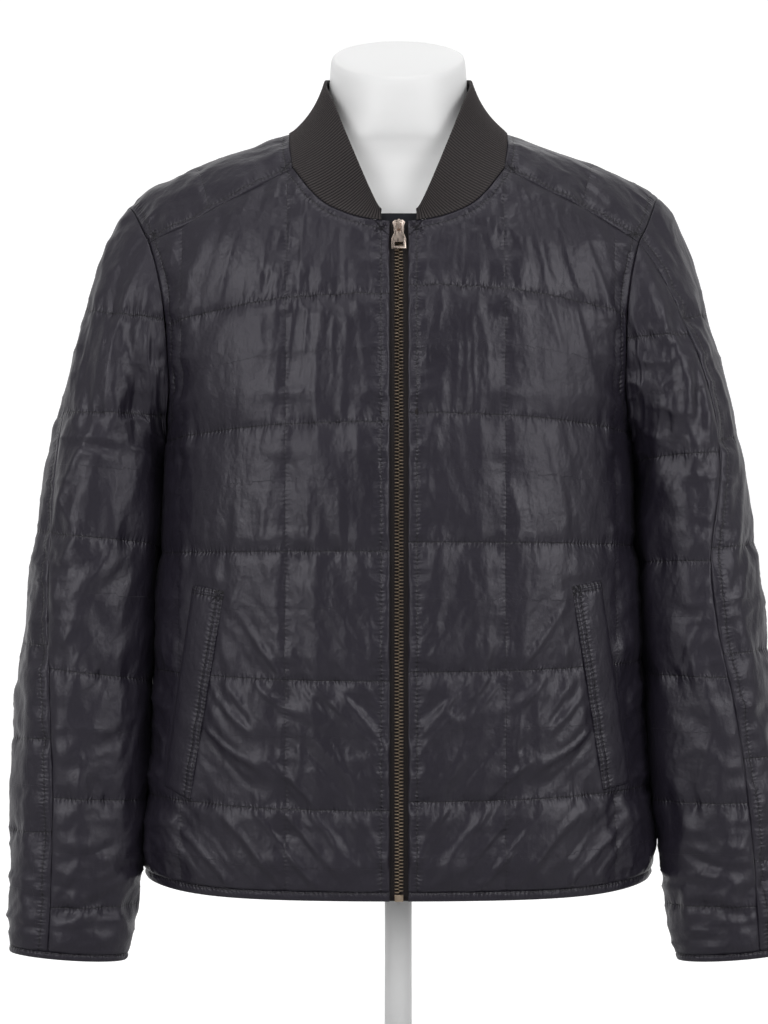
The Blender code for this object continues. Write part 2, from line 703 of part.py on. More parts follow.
def make_hem_band():
    """One strip from front edge to front edge, round the back."""
    cells = NECK_CELLS + SHOULDER_CELLS
    rows = []
    for rise in (0.0, BAND):
        start = place(ZIP_HALF_GAP, rise)[0]
        front = hem_line(start, math.pi / 2, 1.0, rise, cells)
        back = hem_line(math.pi / 2, -math.pi / 2, -1.0, rise, 2 * cells)
        left = body(*front.T)
        right = left[::-1] * np.array([-1.0, 1.0, 1.0])
        lean = body_normal(front)
        lean_right = lean[::-1] * np.array([-1.0, 1.0, 1.0])
        rows.append((
            join(left, body(*back.T), right),
            join(lean, body_normal(back), lean_right),
        ))
    face = trimmed(np.array([row[0] for row in rows]))
    lean = np.array([row[1] for row in rows])
    half = (BAND_CLOTH - CLOTH) / 2
    wall("hem_band", face + half * lean, face - (CLOTH + half) * lean, nylon())


def make_collar():
    """A ribbed wall from the neckline up to its own upper edge, from one front end to the other."""
    front = neckline_front(NECK_CELLS)
    across = body(*front.T)[:, 0]
    front[0] += (front[1] - front[0]) * (COLLAR_END - across[0]) / (across[1] - across[0])
    low = body(*join(front, neckline_top(TOP_CELLS)[::-1], neckline_back(NECK_CELLS)).T)
    gaps = np.linalg.norm(np.diff(low, axis=0), axis=1)
    share = np.concatenate([[0], np.cumsum(gaps)]) / gaps.sum()
    columns = [smooth(share, COLLAR_TOP[:, 0], COLLAR_TOP[:, k]) for k in (1, 2, 3)]
    high = np.stack([columns[0], columns[1], columns[2] + HEM_Z], axis=-1)
    mirror_x = np.array([-1.0, 1.0, 1.0])
    low = join(low, low[::-1] * mirror_x)
    high = join(high, high[::-1] * mirror_x)
    v = np.linspace(0, 1, 5)[:, None, None]
    flat = (1 - v) * low + v * high
    lean = unit(np.cross(np.gradient(flat, axis=1), np.gradient(flat, axis=0)))
    height = np.linalg.norm(high - low, axis=1)[None, :, None]
    hollow = COLLAR_HOLLOW * np.clip(height / COLLAR_FULL_HEIGHT, 0, 1)
    face = trimmed(flat - hollow * np.sin(math.pi * v) * lean)
    face[0] += unit(face[1] - face[0]) * GAP
    wall("collar", face, face - RIB * lean, rib_knit())


def make_welt(side):
    """A flat strip that follows its front, a little above it."""
    inner_top, outer_top, inner_foot, outer_foot = [np.array(corner) for corner in WELTS[side]]
    u = np.linspace(0, 1, 3)[None, :, None]
    v = np.linspace(0, 1, 11)[:, None, None]
    foot = (1 - u) * inner_foot + u * outer_foot
    top = (1 - u) * inner_top + u * outer_top
    outline = (1 - v) * foot + v * top
    params = place(SIGN[side] * outline[..., 0], outline[..., 1])
    lean = body_normal(params)
    ground = body(params[..., 0], params[..., 1])
    wall("pocket_welt_" + side, ground + (WELT_LIFT + WELT_CLOTH) * lean, ground + WELT_LIFT * lean, nylon())


# ---- the zip ----------------------------------------------------------------------------------------

def zip_line(low, high, cells):
    """Points and outward directions down the centre front, bottom to top."""
    rise = np.linspace(low, high, cells + 1)
    params = place(np.zeros_like(rise), rise)
    lean = body_normal(params)
    lean[:, 0] = 0
    return body(*params.T), unit(lean)


def zip_strip(name, inner, outer, face, back, low, high, finish):
    """A strip along the zip between two distances across and two depths."""
    cells = SIDE_CELLS + ARM_CELLS
    line, lean = zip_line(low, high, cells)
    sides = np.array([(inner, 0.0, 0.0), (outer, 0.0, 0.0)])
    grid = line[:, None] + sides[None]
    wall(name, grid + face * lean[:, None], grid + back * lean[:, None], finish)


def make_zip_strips():
    tape_top = NECK_RISE - 0.001
    for side, sign in SIGN.items():
        inner, outer = sign * TAPE_INNER, sign * TAPE_OUTER
        zip_strip("zip_tape_" + side, inner, outer, TAPE_FACE, TAPE_BACK, 0.0, tape_top, zip_tape_cloth())
    chain_foot = BOX_HEIGHT + GAP
    chain_top = PULL_RISE
    zip_strip("zip_chain", -CHAIN_HALF, CHAIN_HALF, CHAIN_FACE, CHAIN_BACK, chain_foot, chain_top, brass())
    zip_strip("zip_guard", -GUARD_HALF, GUARD_HALF, GUARD_FACE, GUARD_BACK, 0.0, GUARD_TOP, nylon())


def extruded(name, outline, near, far, finish):
    """A plate: the outline in X and Z, counter-clockwise from the front, between two Y places."""
    work = bmesh.new()
    corners = [work.verts.new((x, near, z)) for x, z in outline]
    face = work.faces.new(corners)
    made = bmesh.ops.extrude_face_region(work, geom=[face])
    moved = [item for item in made["geom"] if isinstance(item, bmesh.types.BMVert)]
    bmesh.ops.translate(work, verts=moved, vec=(0, far - near, 0))
    bmesh.ops.recalc_face_normals(work, faces=work.faces)
    mesh = bpy.data.meshes.new(name)
    work.to_mesh(mesh)
    work.free()
    mesh.materials.append(finish)
    plate = bpy.data.objects.new(name, mesh)
    bpy.context.scene.collection.objects.link(plate)
    return plate


def combine(target, other, operation):
    """Cuts other from target or joins it on, and keeps it only as a hidden helper."""
    step = target.modifiers.new(other.name, "BOOLEAN")
    step.operation = operation
    step.object = other
    other.hide_render = True
    other.display_type = "WIRE"
    other.hide_set(True)


def rectangle(half, low, high):
    return [(-half, low), (half, low), (half, high), (-half, high)]


def hinge_frame():
    """Place of the pull's hinge, with local -Y straight out of the zip and local +Z up along it."""
    line, lean = zip_line(PULL_RISE - 0.004, PULL_RISE + 0.004, 2)
    tilt = math.atan2(lean[1][2], -lean[1][1])
    origin = line[1] + HINGE_OUT * lean[1]
    return Matrix.Translation(origin.tolist()) @ Matrix.Rotation(-tilt, 4, "X")


def make_slider(frame):
    """The front plate of the slider, with a bridge whose room the pull's bar turns in."""
    face, back = HINGE_OUT - SLIDER_FACE, HINGE_OUT - SLIDER_BACK
    top, foot = SLIDER_TOP_HALF, SLIDER_FOOT_HALF
    shoulder = SLIDER_ABOVE - 0.002
    outline = [
        (-foot * 0.7, -SLIDER_BELOW), (foot * 0.7, -SLIDER_BELOW), (foot, -SLIDER_BELOW + 0.0015),
        (foot, -0.002), (top, shoulder), (top * 0.7, SLIDER_ABOVE), (-top * 0.7, SLIDER_ABOVE),
        (-top, shoulder), (-foot, -0.002), (-foot, -SLIDER_BELOW + 0.0015),
    ]
    slider = extruded("zip_slider", outline, face, back, nickel())
    crown = face - BRIDGE_ROOM - BRIDGE_THICK
    block = extruded("bridge_block", rectangle(BRIDGE_HALF, -BRIDGE_BELOW, BRIDGE_ABOVE), crown, face + 0.0005, nickel())
    room = extruded(
        "bridge_room",
        rectangle(2 * BRIDGE_HALF, -BRIDGE_BELOW + BRIDGE_THICK, BRIDGE_ABOVE - BRIDGE_THICK),
        crown + BRIDGE_THICK, face, nickel(),
    )
    combine(slider, block, "UNION")
    combine(slider, room, "DIFFERENCE")
    for item in (slider, block, room):
        item.matrix_world = frame


def make_pull(frame):
    """A plate that widens downwards, with an eye round the bridge and a slot near its foot."""
    bar = PULL_THICK / 2
    outline = [
        (-PULL_FOOT_HALF, -PULL_LENGTH), (PULL_FOOT_HALF, -PULL_LENGTH),
        (PULL_FOOT_HALF, -PULL_LENGTH + 0.009), (PULL_TOP_HALF, -0.0075), (PULL_TOP_HALF, bar),
        (-PULL_TOP_HALF, bar), (-PULL_TOP_HALF, -0.0075), (-PULL_FOOT_HALF, -PULL_LENGTH + 0.009),
    ]
    pull = extruded("zip_pull", outline, -bar, bar, nickel())
    eye = extruded("pull_eye", rectangle(EYE_HALF, -EYE_LENGTH, -bar), -2 * bar, 2 * bar, nickel())
    low = -PULL_LENGTH + SLOT_FOOT
    slot = extruded("pull_slot", rectangle(SLOT_HALF, low, low + SLOT_LENGTH), -2 * bar, 2 * bar, nickel())
    combine(pull, eye, "DIFFERENCE")
    combine(pull, slot, "DIFFERENCE")
    for item in (pull, eye, slot):
        item.matrix_world = frame


def make_zip_box():
    line, lean = zip_line(0.0, BOX_HEIGHT, 1)
    sides = np.array([(-BOX_HALF + 0.0004, 0.0, 0.0), (BOX_HALF - 0.0004, 0.0, 0.0)])
    grid = line[:, None] + sides[None]
    wall("zip_box", grid + (CHAIN_FACE + 0.0003) * lean[:, None], grid + CHAIN_BACK * lean[:, None], brass())


# ---- the dress form ---------------------------------------------------------------------------------

def turned(name, rings, finish):
    """Rings of equal count joined into a skin, with a fan over each end."""
    count = rings.shape[1]
    index = np.arange(rings.shape[0] * count).reshape(-1, count)
    ahead = np.roll(index, -1, axis=1)
    sides = np.stack([index[:-1], ahead[:-1], ahead[1:], index[1:]], axis=-1).reshape(-1, 4)
    faces = sides.tolist() + [index[0][::-1].tolist(), index[-1].tolist()]
    return add_object(name, rings.reshape(-1, 3).tolist(), faces, finish)


def make_form():
    """Torso, arm caps and neck as one loft. The neck leans its rings forwards, so the flat top
    faces a little to the front."""
    angle = np.linspace(0, 2 * math.pi, FORM_SEGMENTS, endpoint=False)
    rise, half, front, back = [FORM_RINGS[:, k][:, None] for k in range(4)]
    lateral, ahead = np.cos(angle)[None], np.sin(angle)[None]
    trunk = np.clip((NECK_FOOT_RISE - rise) / 0.05, 0, 1)
    outline = ahead * (1 + FULL * trunk * lateral ** 2)
    y = np.where(ahead < 0, front, back) * outline
    tilt = NECK_TILT * np.clip((rise - NECK_FOOT_RISE) / (FORM_RINGS[-1, 0] - NECK_FOOT_RISE), 0, 1)
    z = rise + y * np.tan(tilt)
    points = np.stack(np.broadcast_arrays(half * lateral, CENTRE_Y + y, HEM_Z + z), axis=-1)
    turned("form_torso", points, form_white())


def make_stand():
    angle = np.linspace(0, 2 * math.pi, FORM_SEGMENTS, endpoint=False)
    circle = np.stack([np.cos(angle), np.sin(angle), np.zeros_like(angle)], axis=-1)
    pole_rows = [(POLE_RADIUS, BASE_HEIGHT + TOUCH), (POLE_RADIUS, HEM_Z + FORM_RINGS[0, 0] - TOUCH)]
    base_rows = [(BASE_RADIUS, 0.0), (BASE_RADIUS, BASE_HEIGHT - BASE_EDGE)]
    for step in (30, 60, 90):
        bend = math.radians(step)
        inset = BASE_EDGE * (1 - math.cos(bend))
        base_rows.append((BASE_RADIUS - inset, BASE_HEIGHT - BASE_EDGE + BASE_EDGE * math.sin(bend)))
    for name, rows in (("form_pole", pole_rows), ("form_base", base_rows)):
        rings = [circle * (radius, radius, 1) + (0, 0, z) for radius, z in rows]
        turned(name, np.array(rings), form_white())


def main():
    for old in list(bpy.data.objects):
        bpy.data.objects.remove(old)
    make_trunk_and_sleeves()
    make_hem_band()
    make_collar()
    for side in SIGN:
        make_welt(side)
    make_zip_strips()
    make_zip_box()
    frame = hinge_frame()
    make_slider(frame)
    make_pull(frame)
    make_form()
    make_stand()


main()
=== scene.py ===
"""The looks of a box-quilted zip jacket on its white dress form: padded cloth, ribs, zip and stitching.

Metres, +Z up, in the frame of the CAD: the front faces -Y and the wearer's left is +X. "Rise" is a
height above the hem edge and "across" a distance from the centre plane. The trunk's cloth lies on
the body surface and each sleeve on a surface of its own, as in the CAD. Here they are divided more
finely, and moved along their normals by the quilting, the folds and the stitched lines.
"""

import math

import bmesh
import bpy
import numpy as np
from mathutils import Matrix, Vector


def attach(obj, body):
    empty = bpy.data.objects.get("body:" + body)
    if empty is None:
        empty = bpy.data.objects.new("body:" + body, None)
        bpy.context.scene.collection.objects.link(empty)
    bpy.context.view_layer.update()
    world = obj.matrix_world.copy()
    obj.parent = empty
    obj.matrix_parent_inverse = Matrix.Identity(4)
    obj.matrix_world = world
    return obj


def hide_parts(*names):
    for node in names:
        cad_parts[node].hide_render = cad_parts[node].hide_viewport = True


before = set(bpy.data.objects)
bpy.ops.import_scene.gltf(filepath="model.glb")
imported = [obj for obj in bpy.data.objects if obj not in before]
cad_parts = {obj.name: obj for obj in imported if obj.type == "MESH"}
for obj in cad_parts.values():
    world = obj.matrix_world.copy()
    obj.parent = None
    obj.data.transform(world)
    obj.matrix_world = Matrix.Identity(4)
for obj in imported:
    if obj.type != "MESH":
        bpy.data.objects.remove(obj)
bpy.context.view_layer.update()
ROOT = "jacket_on_form"

# ---- the jacket's dimensions, as in the CAD ---------------------------------------------------

HEM_Z = 0.185  # height of the hem edge above the surface the form stands on
CLOTH = 0.003  # thickness of the padded cloth
RIB = 0.0025  # thickness of the rib-knit collar
BAND = 0.0085  # height of the bound hem
HEM_LIFT = 0.009  # how much higher the hem edge runs at the side seams
CUFF_BAND = 0.0065
BAND_CLOTH = 0.0036
BAND_STITCH = 0.0034  # a closed band holds a whole number of these
GAP = 0.0004  # space left between two pieces at a seam
ZIP_HALF_GAP = 0.0081  # half the space between the two front edges
NECK_RISE = 0.602  # top of the front edges
UNDERARM_RISE = 0.415
CENTRE_Y = 0.010  # plane of the side seams and of the shoulder ridge
RIDGE_HALF = 0.262  # half the width of the shoulder ridge, as if it ran on past the armhole
ROUND = 0.105  # drop over which the cloth turns from the ridge to the chest or the back
FULL = 0.18  # how much fuller than an ellipse the trunk's outline is
NECK_HALF = 0.101  # half the width of the neck where the neckline crosses the ridge
BACK_NECK_TURN = 0.66  # how far round the ridge the back neckline dips, in radians

# Trunk rings: rise, half width, depth in front of and behind the side seams' plane.
RINGS = np.array([
    (-0.010, 0.2305, 0.1270, 0.1120),
    (0.000, 0.2315, 0.1280, 0.1130),
    (0.040, 0.2365, 0.1310, 0.1160),
    (0.100, 0.2335, 0.1340, 0.1180),
    (0.150, 0.2300, 0.1350, 0.1190),
    (0.200, 0.2270, 0.1360, 0.1200),
    (0.310, 0.2200, 0.1370, 0.1220),
    (0.370, 0.2160, 0.1360, 0.1230),
    (0.415, 0.2165, 0.1340, 0.1240),
    (0.460, 0.2245, 0.1300, 0.1230),
    (0.520, 0.2400, 0.1220, 0.1200),
    (0.560, 0.2500, 0.1140, 0.1170),
    (0.600, 0.2580, 0.1040, 0.1130),
    (0.640, 0.2620, 0.0930, 0.1090),
    (0.700, 0.2620, 0.0800, 0.1040),
    (0.740, 0.2620, 0.0750, 0.1000),
])

# Shoulder ridge: across, rise.
RIDGE = np.array([
    (0.0000, 0.7250),
    (0.0500, 0.7160),
    (0.1010, 0.6945),
    (0.1400, 0.6780),
    (0.1755, 0.6665),
    (0.2100, 0.6520),
    (0.2300, 0.6425),
    (0.2450, 0.6320),
    (0.2530, 0.6245),
    (0.2620, 0.6130),
])

# Front neckline, from the front edge to the end of the shoulder seam: across, rise.
NECKLINE = np.array([
    (0.0081, 0.6020),
    (0.0225, 0.6035),
    (0.0433, 0.6085),
    (0.0625, 0.6170),
    (0.0765, 0.6290),
    (0.0880, 0.6440),
    (0.0955, 0.6545),
])

# Neckline from the ridge forward to the shoulder seam: across, rise.
NECKLINE_TOP = np.array([
    (0.1010, 0.6945),
    (0.0985, 0.6750),
    (0.0955, 0.6545),
])

# Shoulder seam, set forward of the ridge, from the neckline to the armhole: across, rise.
SHOULDER_SEAM = np.array([
    (0.0955, 0.6545),
    (0.1180, 0.6420),
    (0.1490, 0.6265),
    (0.1830, 0.6080),
    (0.2230, 0.5880),
])

# Armhole, from the underarm up the front to the shoulder seam: rise, across.
ARMHOLE_FRONT = np.array([
    (0.4150, 0.2165),
    (0.4185, 0.2145),
    (0.4300, 0.2105),
    (0.4500, 0.2075),
    (0.4850, 0.2075),
    (0.5190, 0.2090),
    (0.5500, 0.2130),
    (0.5740, 0.2185),
    (0.5880, 0.2230),
])

# The same on the back, from the underarm up to just below the ridge.
ARMHOLE_BACK = np.array([
    (0.4150, 0.2165),
    (0.4185, 0.2155),
    (0.4300, 0.2130),
    (0.4500, 0.2115),
    (0.4900, 0.2130),
    (0.5300, 0.2160),
    (0.5700, 0.2225),
    (0.6000, 0.2320),
    (0.6190, 0.2425),
])
ARMHOLE_TIP, ARMHOLE_TIP_RISE = 0.2485, 0.6245  # where the armhole crosses the ridge
ARMHOLE_SHIFT = {"right": 0.0045, "left": -0.0060}  # the tip sits this much further out

# Sleeves below the biceps: rise, outer edge and inner edge across, middle in Y, half depth.
SLEEVES = {
    "right": np.array([
        (-0.060, 0.3545, 0.2480, -0.030, 0.036),
        (-0.020, 0.3545, 0.2410, -0.027, 0.042),
        (0.041, 0.3550, 0.2350, -0.022, 0.050),
        (0.100, 0.3535, 0.2335, -0.017, 0.057),
        (0.150, 0.3520, 0.2312, -0.012, 0.062),
        (0.200, 0.3475, 0.2283, -0.008, 0.066),
        (0.245, 0.3425, 0.2252, -0.004, 0.069),
        (0.288, 0.3380, 0.2226, -0.001, 0.071),
        (0.331, 0.3320, 0.2204, 0.002, 0.072),
        (0.370, 0.3262, 0.2205, 0.004, 0.073),
    ]),
    "left": np.array([
        (-0.060, 0.3570, 0.2540, -0.030, 0.036),
        (-0.020, 0.3560, 0.2480, -0.027, 0.042),
        (0.041, 0.3530, 0.2400, -0.022, 0.050),
        (0.100, 0.3490, 0.2347, -0.017, 0.057),
        (0.150, 0.3455, 0.2313, -0.012, 0.062),
        (0.200, 0.3415, 0.2284, -0.008, 0.066),
        (0.245, 0.3380, 0.2252, -0.004, 0.069),
        (0.288, 0.3320, 0.2226, -0.001, 0.071),
        (0.331, 0.3260, 0.2206, 0.002, 0.072),
        (0.370, 0.3205, 0.2205, 0.004, 0.073),
    ]),
}
BICEPS_RISE = 0.370
CUFF_RISE = -0.0595
CUFF_TILT = 0.004  # the outer side of the cuff sits higher by this much

# Sleeve seams: rise, angle of the front seam, angle of the back seam. 0 is outwards, 90 forwards.
SLEEVE_SEAMS = {
    "right": np.array([
        (-0.060, 74.0, 255.0),
        (0.150, 70.0, 250.0),
        (0.223, 60.0, 246.0),
        (0.330, 47.0, 240.0),
        (0.370, 43.0, 236.0),
    ]),
    "left": np.array([
        (-0.060, 67.0, 258.0),
        (0.098, 69.0, 256.0),
        (0.174, 76.0, 254.0),
        (0.243, 86.0, 252.0),
        (0.297, 86.0, 250.0),
        (0.370, 68.0, 246.0),
    ]),
}

# Collar's upper edge, from the front end to the centre back: share of the way, across, Y, rise.
COLLAR_TOP = np.array([
    (0.00, 0.0172, -0.0935, 0.6125),
    (0.15, 0.0290, -0.0830, 0.6400),
    (0.30, 0.0435, -0.0660, 0.6760),
    (0.45, 0.0585, -0.0400, 0.7150),
    (0.60, 0.0675, -0.0040, 0.7400),
    (0.80, 0.0560, 0.0460, 0.7520),
    (1.00, 0.0000, 0.0740, 0.7560),
])
COLLAR_END = 0.0150  # the collar starts this far from the centre plane
COLLAR_HOLLOW = 0.004  # how far its height curves in, where it is this high or more:
COLLAR_FULL_HEIGHT = 0.060

# Pocket welts: the inner-top, outer-top, inner-bottom and outer-bottom corners, across and rise.
WELTS = {
    "right": ((0.1545, 0.2730), (0.1830, 0.2780), (0.1860, 0.0860), (0.2100, 0.0970)),
    "left": ((0.1530, 0.2770), (0.1795, 0.2820), (0.1820, 0.0950), (0.2070, 0.1000)),
}
WELT_LIFT = 0.0006  # space between a welt and its front
WELT_STITCH = 0.0068  # distance of its stitched line from its edge
WELT_HALF, WELT_CLEAR = 0.0125, 0.011  # half its width, and where the front's folds start beside it

# Zip, measured out from the face of the fronts (below it is negative).
TAPE_FACE, TAPE_BACK = -0.0037, -0.0045
TAPE_INNER, TAPE_OUTER = 0.0043, 0.0165
GUARD_FACE, GUARD_BACK = -0.0050, -0.0066
GUARD_HALF = 0.0200
GUARD_TOP = 0.6105
BOX_HEIGHT = 0.0060
PULL_RISE = 0.5985  # height of the pull's hinge

# Dress form: rise, half width, depth in front of and behind the middle.
FORM_RINGS = np.array([
    (0.0700, 0.1600, 0.0880, 0.0780),
    (0.0720, 0.1800, 0.1010, 0.0900),
    (0.0800, 0.1950, 0.1100, 0.0980),
    (0.1000, 0.2040, 0.1160, 0.1030),
    (0.1600, 0.2080, 0.1190, 0.1050),
    (0.2400, 0.2060, 0.1210, 0.1070),
    (0.3200, 0.2020, 0.1220, 0.1090),
    (0.3700, 0.2000, 0.1220, 0.1100),
    (0.4150, 0.1990, 0.1200, 0.1100),
    (0.4500, 0.2020, 0.1160, 0.1090),
    (0.5000, 0.2130, 0.1090, 0.1060),
    (0.5500, 0.2260, 0.0980, 0.1000),
    (0.5850, 0.2310, 0.0870, 0.0930),
    (0.6100, 0.2290, 0.0760, 0.0840),
    (0.6280, 0.2180, 0.0670, 0.0750),
    (0.6430, 0.1970, 0.0600, 0.0680),
    (0.6560, 0.1660, 0.0560, 0.0620),
    (0.6680, 0.1300, 0.0540, 0.0580),
    (0.6790, 0.0960, 0.0550, 0.0540),
    (0.6900, 0.0760, 0.0580, 0.0530),
    (0.7100, 0.0665, 0.0590, 0.0520),
    (0.7350, 0.0640, 0.0590, 0.0520),
    (0.7550, 0.0628, 0.0585, 0.0515),
    (0.7630, 0.0618, 0.0575, 0.0505),
    (0.7665, 0.0600, 0.0558, 0.0487),
    (0.7680, 0.0550, 0.0508, 0.0437),
])
NECK_FOOT_RISE = 0.690  # the neck's rings tilt forwards from here up
NECK_TILT = math.radians(27)
POLE_RADIUS = 0.0125
BASE_RADIUS, BASE_HEIGHT, BASE_EDGE = 0.140, 0.014, 0.004
TOUCH = 0.0003  # space between the form's own pieces

# Cells along each edge.
SIDE_CELLS, ARM_CELLS, TOP_CELLS = 11, 8, 4
NECK_CELLS, SHOULDER_CELLS = 5, 6
SLEEVE_CAP_CELLS, SLEEVE_CELLS = 7, 11
RING_CELLS = 2 * ARM_CELLS + TOP_CELLS
FRONT_SPLIT = {"right": 0, "left": 4}  # ring place of the front sleeve seam, counted from the tip
BACK_SPLIT = TOP_CELLS + ARM_CELLS + 2
DENSE = 1500  # points on an edge before it is divided evenly
SIGN = {"right": -1.0, "left": 1.0}

# ---- fineness, padding and stitching ----------------------------------------------------------

FRONT_FINE = (11, 13)  # fine cells for each CAD cell, across and up
BACK_FINE = (10, 10)
SLEEVE_FINE = (8, 13)
CHUNK = 4096  # points measured against an edge at once

PUFF = 0.0026  # how far the padding stands out in the middle of a box
LINE_REACH = 0.0100  # distance from a quilted line at which most of the padding is back
SEAM_REACH = 0.0080
# How hard a level line, an upright one and a topstitched one pull.
QUILT_PULL = {"level": 1.0, "column": 0.75, "stitch": 0.8}
TOPSTITCH_REACH = 0.0030
TOPSTITCH_PULL = 0.50
# Gathers beside a stitched line: pitch along it, reach from it, height, seed.
GATHERS = ((0.0062, 0.0065, 0.00120, 11), (0.0130, 0.0190, 0.00240, 12))
COLLAR_RIB = 0.0030
RIB_FINE = 5  # columns for each rib
# Streaks: width, length, height, seed.
STREAKS = ((0.0260, 0.150, 0.00190, 1), (0.0130, 0.085, 0.00110, 2), (0.0065, 0.045, 0.00040, 3))
# Crinkles: size across, through and up, width of the bell as a share of the noise, height, seed.
CRINKLES = (
    ((0.026, 0.026, 0.036), 0.20, 0.0010, 20),
    ((0.013, 0.013, 0.019), 0.24, 0.00045, 40),
)
FAN_APEX = (0.060, 0.900)  # the streaks of the trunk fan out below this point: across, rise
# Distance of each topstitched line from its seam.
PLACKET, NECK_STITCH, ARMHOLE_STITCH = 0.0075, 0.0065, 0.0070
SHOULDER_STITCH, SLEEVE_STITCH = 0.0050, 0.0078
# Short folds that leave a seam: height, pitch along it, reach from it.
RUFFLES = {
    "placket": (0.0030, 0.0090, 0.016),
    "neck": (0.0018, 0.010, 0.016),
    "shoulder": (0.0020, 0.014, 0.026),
    "armhole": (0.0024, 0.011, 0.018),
    "hem": (0.0034, 0.013, 0.026),
    "sleeve cap": (0.0022, 0.015, 0.022),
    "front of sleeve": (0.0032, 0.0125, 0.024),
    "back of sleeve": (0.0022, 0.0125, 0.022),
    "cuff": (0.0012, 0.008, 0.010),
}
BELLS = ((0.0, 1.0), (1.9, 1.1), (-1.9, 1.1))  # a fold's trough and its banks: shift, spread
FAR = 0.05  # distance that stands for no line near
SEAM_FREE, LEVEL_FREE = 0.006, 0.007  # distance at which most of a fold is back
SIDE_CREASES = (0.03, 0.03, 0.02)  # size of the waves near the side seams: across, through, up
SIDE_REACH = (0.16, 0.21)  # across, where they start and where they are full
CUFF_CREASES, PIT_CREASES = (0.045, 0.045, 0.013), (0.026, 0.026, 0.016)
COLLAR_WAVES = (0.05, 0.05, 0.04)
LOW_FRONT = (-0.34, -0.14)  # minus the rise: where the slanting streaks start, and are full
LOW_SLEEVE = (-0.10, -0.01)  # the same for the creases above the cuff
SLANT = 0.8  # how far they run sideways for each metre up
TOUCH_TRUNK, TOUCH_SLEEVE = 0.0014, 0.0024  # how far they bulge towards each other under the arm

# Level quilted lines of the fronts and the back: rise at the centre.
FRONT_LEVELS = {
    "right": (0.080, 0.194, 0.308, 0.422, 0.536),
    "left": (0.088, 0.202, 0.316, 0.430, 0.544),
}
BACK_LEVELS = (0.084, 0.198, 0.312, 0.426, 0.540, 0.640)
# Upright quilted lines: distance across.
FRONT_COLUMNS = {"right": (-0.100, -0.196), "left": (0.094, 0.195)}
BACK_COLUMNS = (-0.1575, -0.0525, 0.0525, 0.1575)
SHOULDER_WIDTH = 0.148
SHOULDER_LINE = 0.56  # place of the quilted line over the shoulder, as a share from the neck out
# Level lines of the sleeves: rise at the front seam and at the back seam.
SLEEVE_LEVELS = {
    ("right", "inner"): (
        (0.530, 0.500), (0.435, 0.428), (0.325, 0.306), (0.203, 0.180), (0.087, 0.078), (-0.012, -0.014),
    ),
    ("right", "outer"): (
        (0.535, 0.535), (0.430, 0.440), (0.326, 0.330), (0.224, 0.226), (0.140, 0.136), (0.056, 0.052),
    ),
    ("left", "inner"): (
        (0.505, 0.490), (0.398, 0.385), (0.300, 0.297), (0.195, 0.199), (0.082, 0.082), (-0.011, -0.013),
    ),
    ("left", "outer"): (
        (0.520, 0.545), (0.409, 0.430), (0.311, 0.328), (0.216, 0.230), (0.122, 0.128), (0.030, 0.030),
    ),
}
SLEEVE_COLUMNS = {"inner": (), "outer": (0.40, 0.72)}  # shares of the piece's width from the front seam
# Lean of the streaks in each box of the sleeves, from the cuff up, in degrees.
SLEEVE_STREAKS = {"inner": (62, 40, 28, 34, 18, 8, 14), "outer": (-50, -35, 30, -25, -12, 6, -10)}

# Listed folds: across and rise of both ends, bend of the middle, half width, depth.
FRONT_FOLDS = [
    (-0.0406, 0.5936, -0.0230, 0.5424, 0.0050, 0.0050, 0.0034),
    (-0.0600, 0.6080, -0.0520, 0.5450, 0.0030, 0.0080, 0.0016),
    (-0.1180, 0.6120, -0.1250, 0.5100, 0.0060, 0.0100, 0.0020),
    (-0.1500, 0.6000, -0.1620, 0.5000, -0.0050, 0.0110, 0.0018),
    (-0.1419, 0.5239, -0.1579, 0.4450, 0.0040, 0.0090, 0.0022),
    (-0.0915, 0.5009, -0.0853, 0.4631, 0.0020, 0.0070, 0.0016),
    (-0.1419, 0.4068, -0.1694, 0.3492, 0.0040, 0.0090, 0.0020),
    (-0.2020, 0.4700, -0.1750, 0.4050, -0.0040, 0.0080, 0.0028),
    (-0.2000, 0.3900, -0.1700, 0.3350, 0.0040, 0.0100, 0.0018),
    (-0.0500, 0.2900, -0.0640, 0.2150, 0.0050, 0.0120, 0.0015),
    (-0.1300, 0.1800, -0.1420, 0.1100, -0.0040, 0.0120, 0.0014),
    (0.0149, 0.4493, 0.0490, 0.4326, -0.0050, 0.0042, 0.0026),
    (0.0193, 0.3713, 0.0342, 0.3626, -0.0020, 0.0035, 0.0014),
    (0.1298, 0.3039, 0.1440, 0.2836, 0.0020, 0.0050, 0.0026),
    (0.0380, 0.2950, 0.0330, 0.2050, -0.0060, 0.0170, 0.0020),
    (0.0700, 0.6030, 0.0640, 0.5350, -0.0040, 0.0090, 0.0018),
    (0.1150, 0.6120, 0.1280, 0.5150, -0.0060, 0.0110, 0.0022),
    (0.1550, 0.6000, 0.1700, 0.4900, 0.0050, 0.0110, 0.0020),
    (0.1480, 0.4800, 0.1620, 0.4300, 0.0040, 0.0090, 0.0016),
    (0.1980, 0.4650, 0.1700, 0.4000, 0.0040, 0.0080, 0.0026),
    (0.1200, 0.2000, 0.1280, 0.1200, 0.0040, 0.0120, 0.0014),
    (0.0600, 0.1500, 0.0520, 0.0950, -0.0030, 0.0110, 0.0012),
]
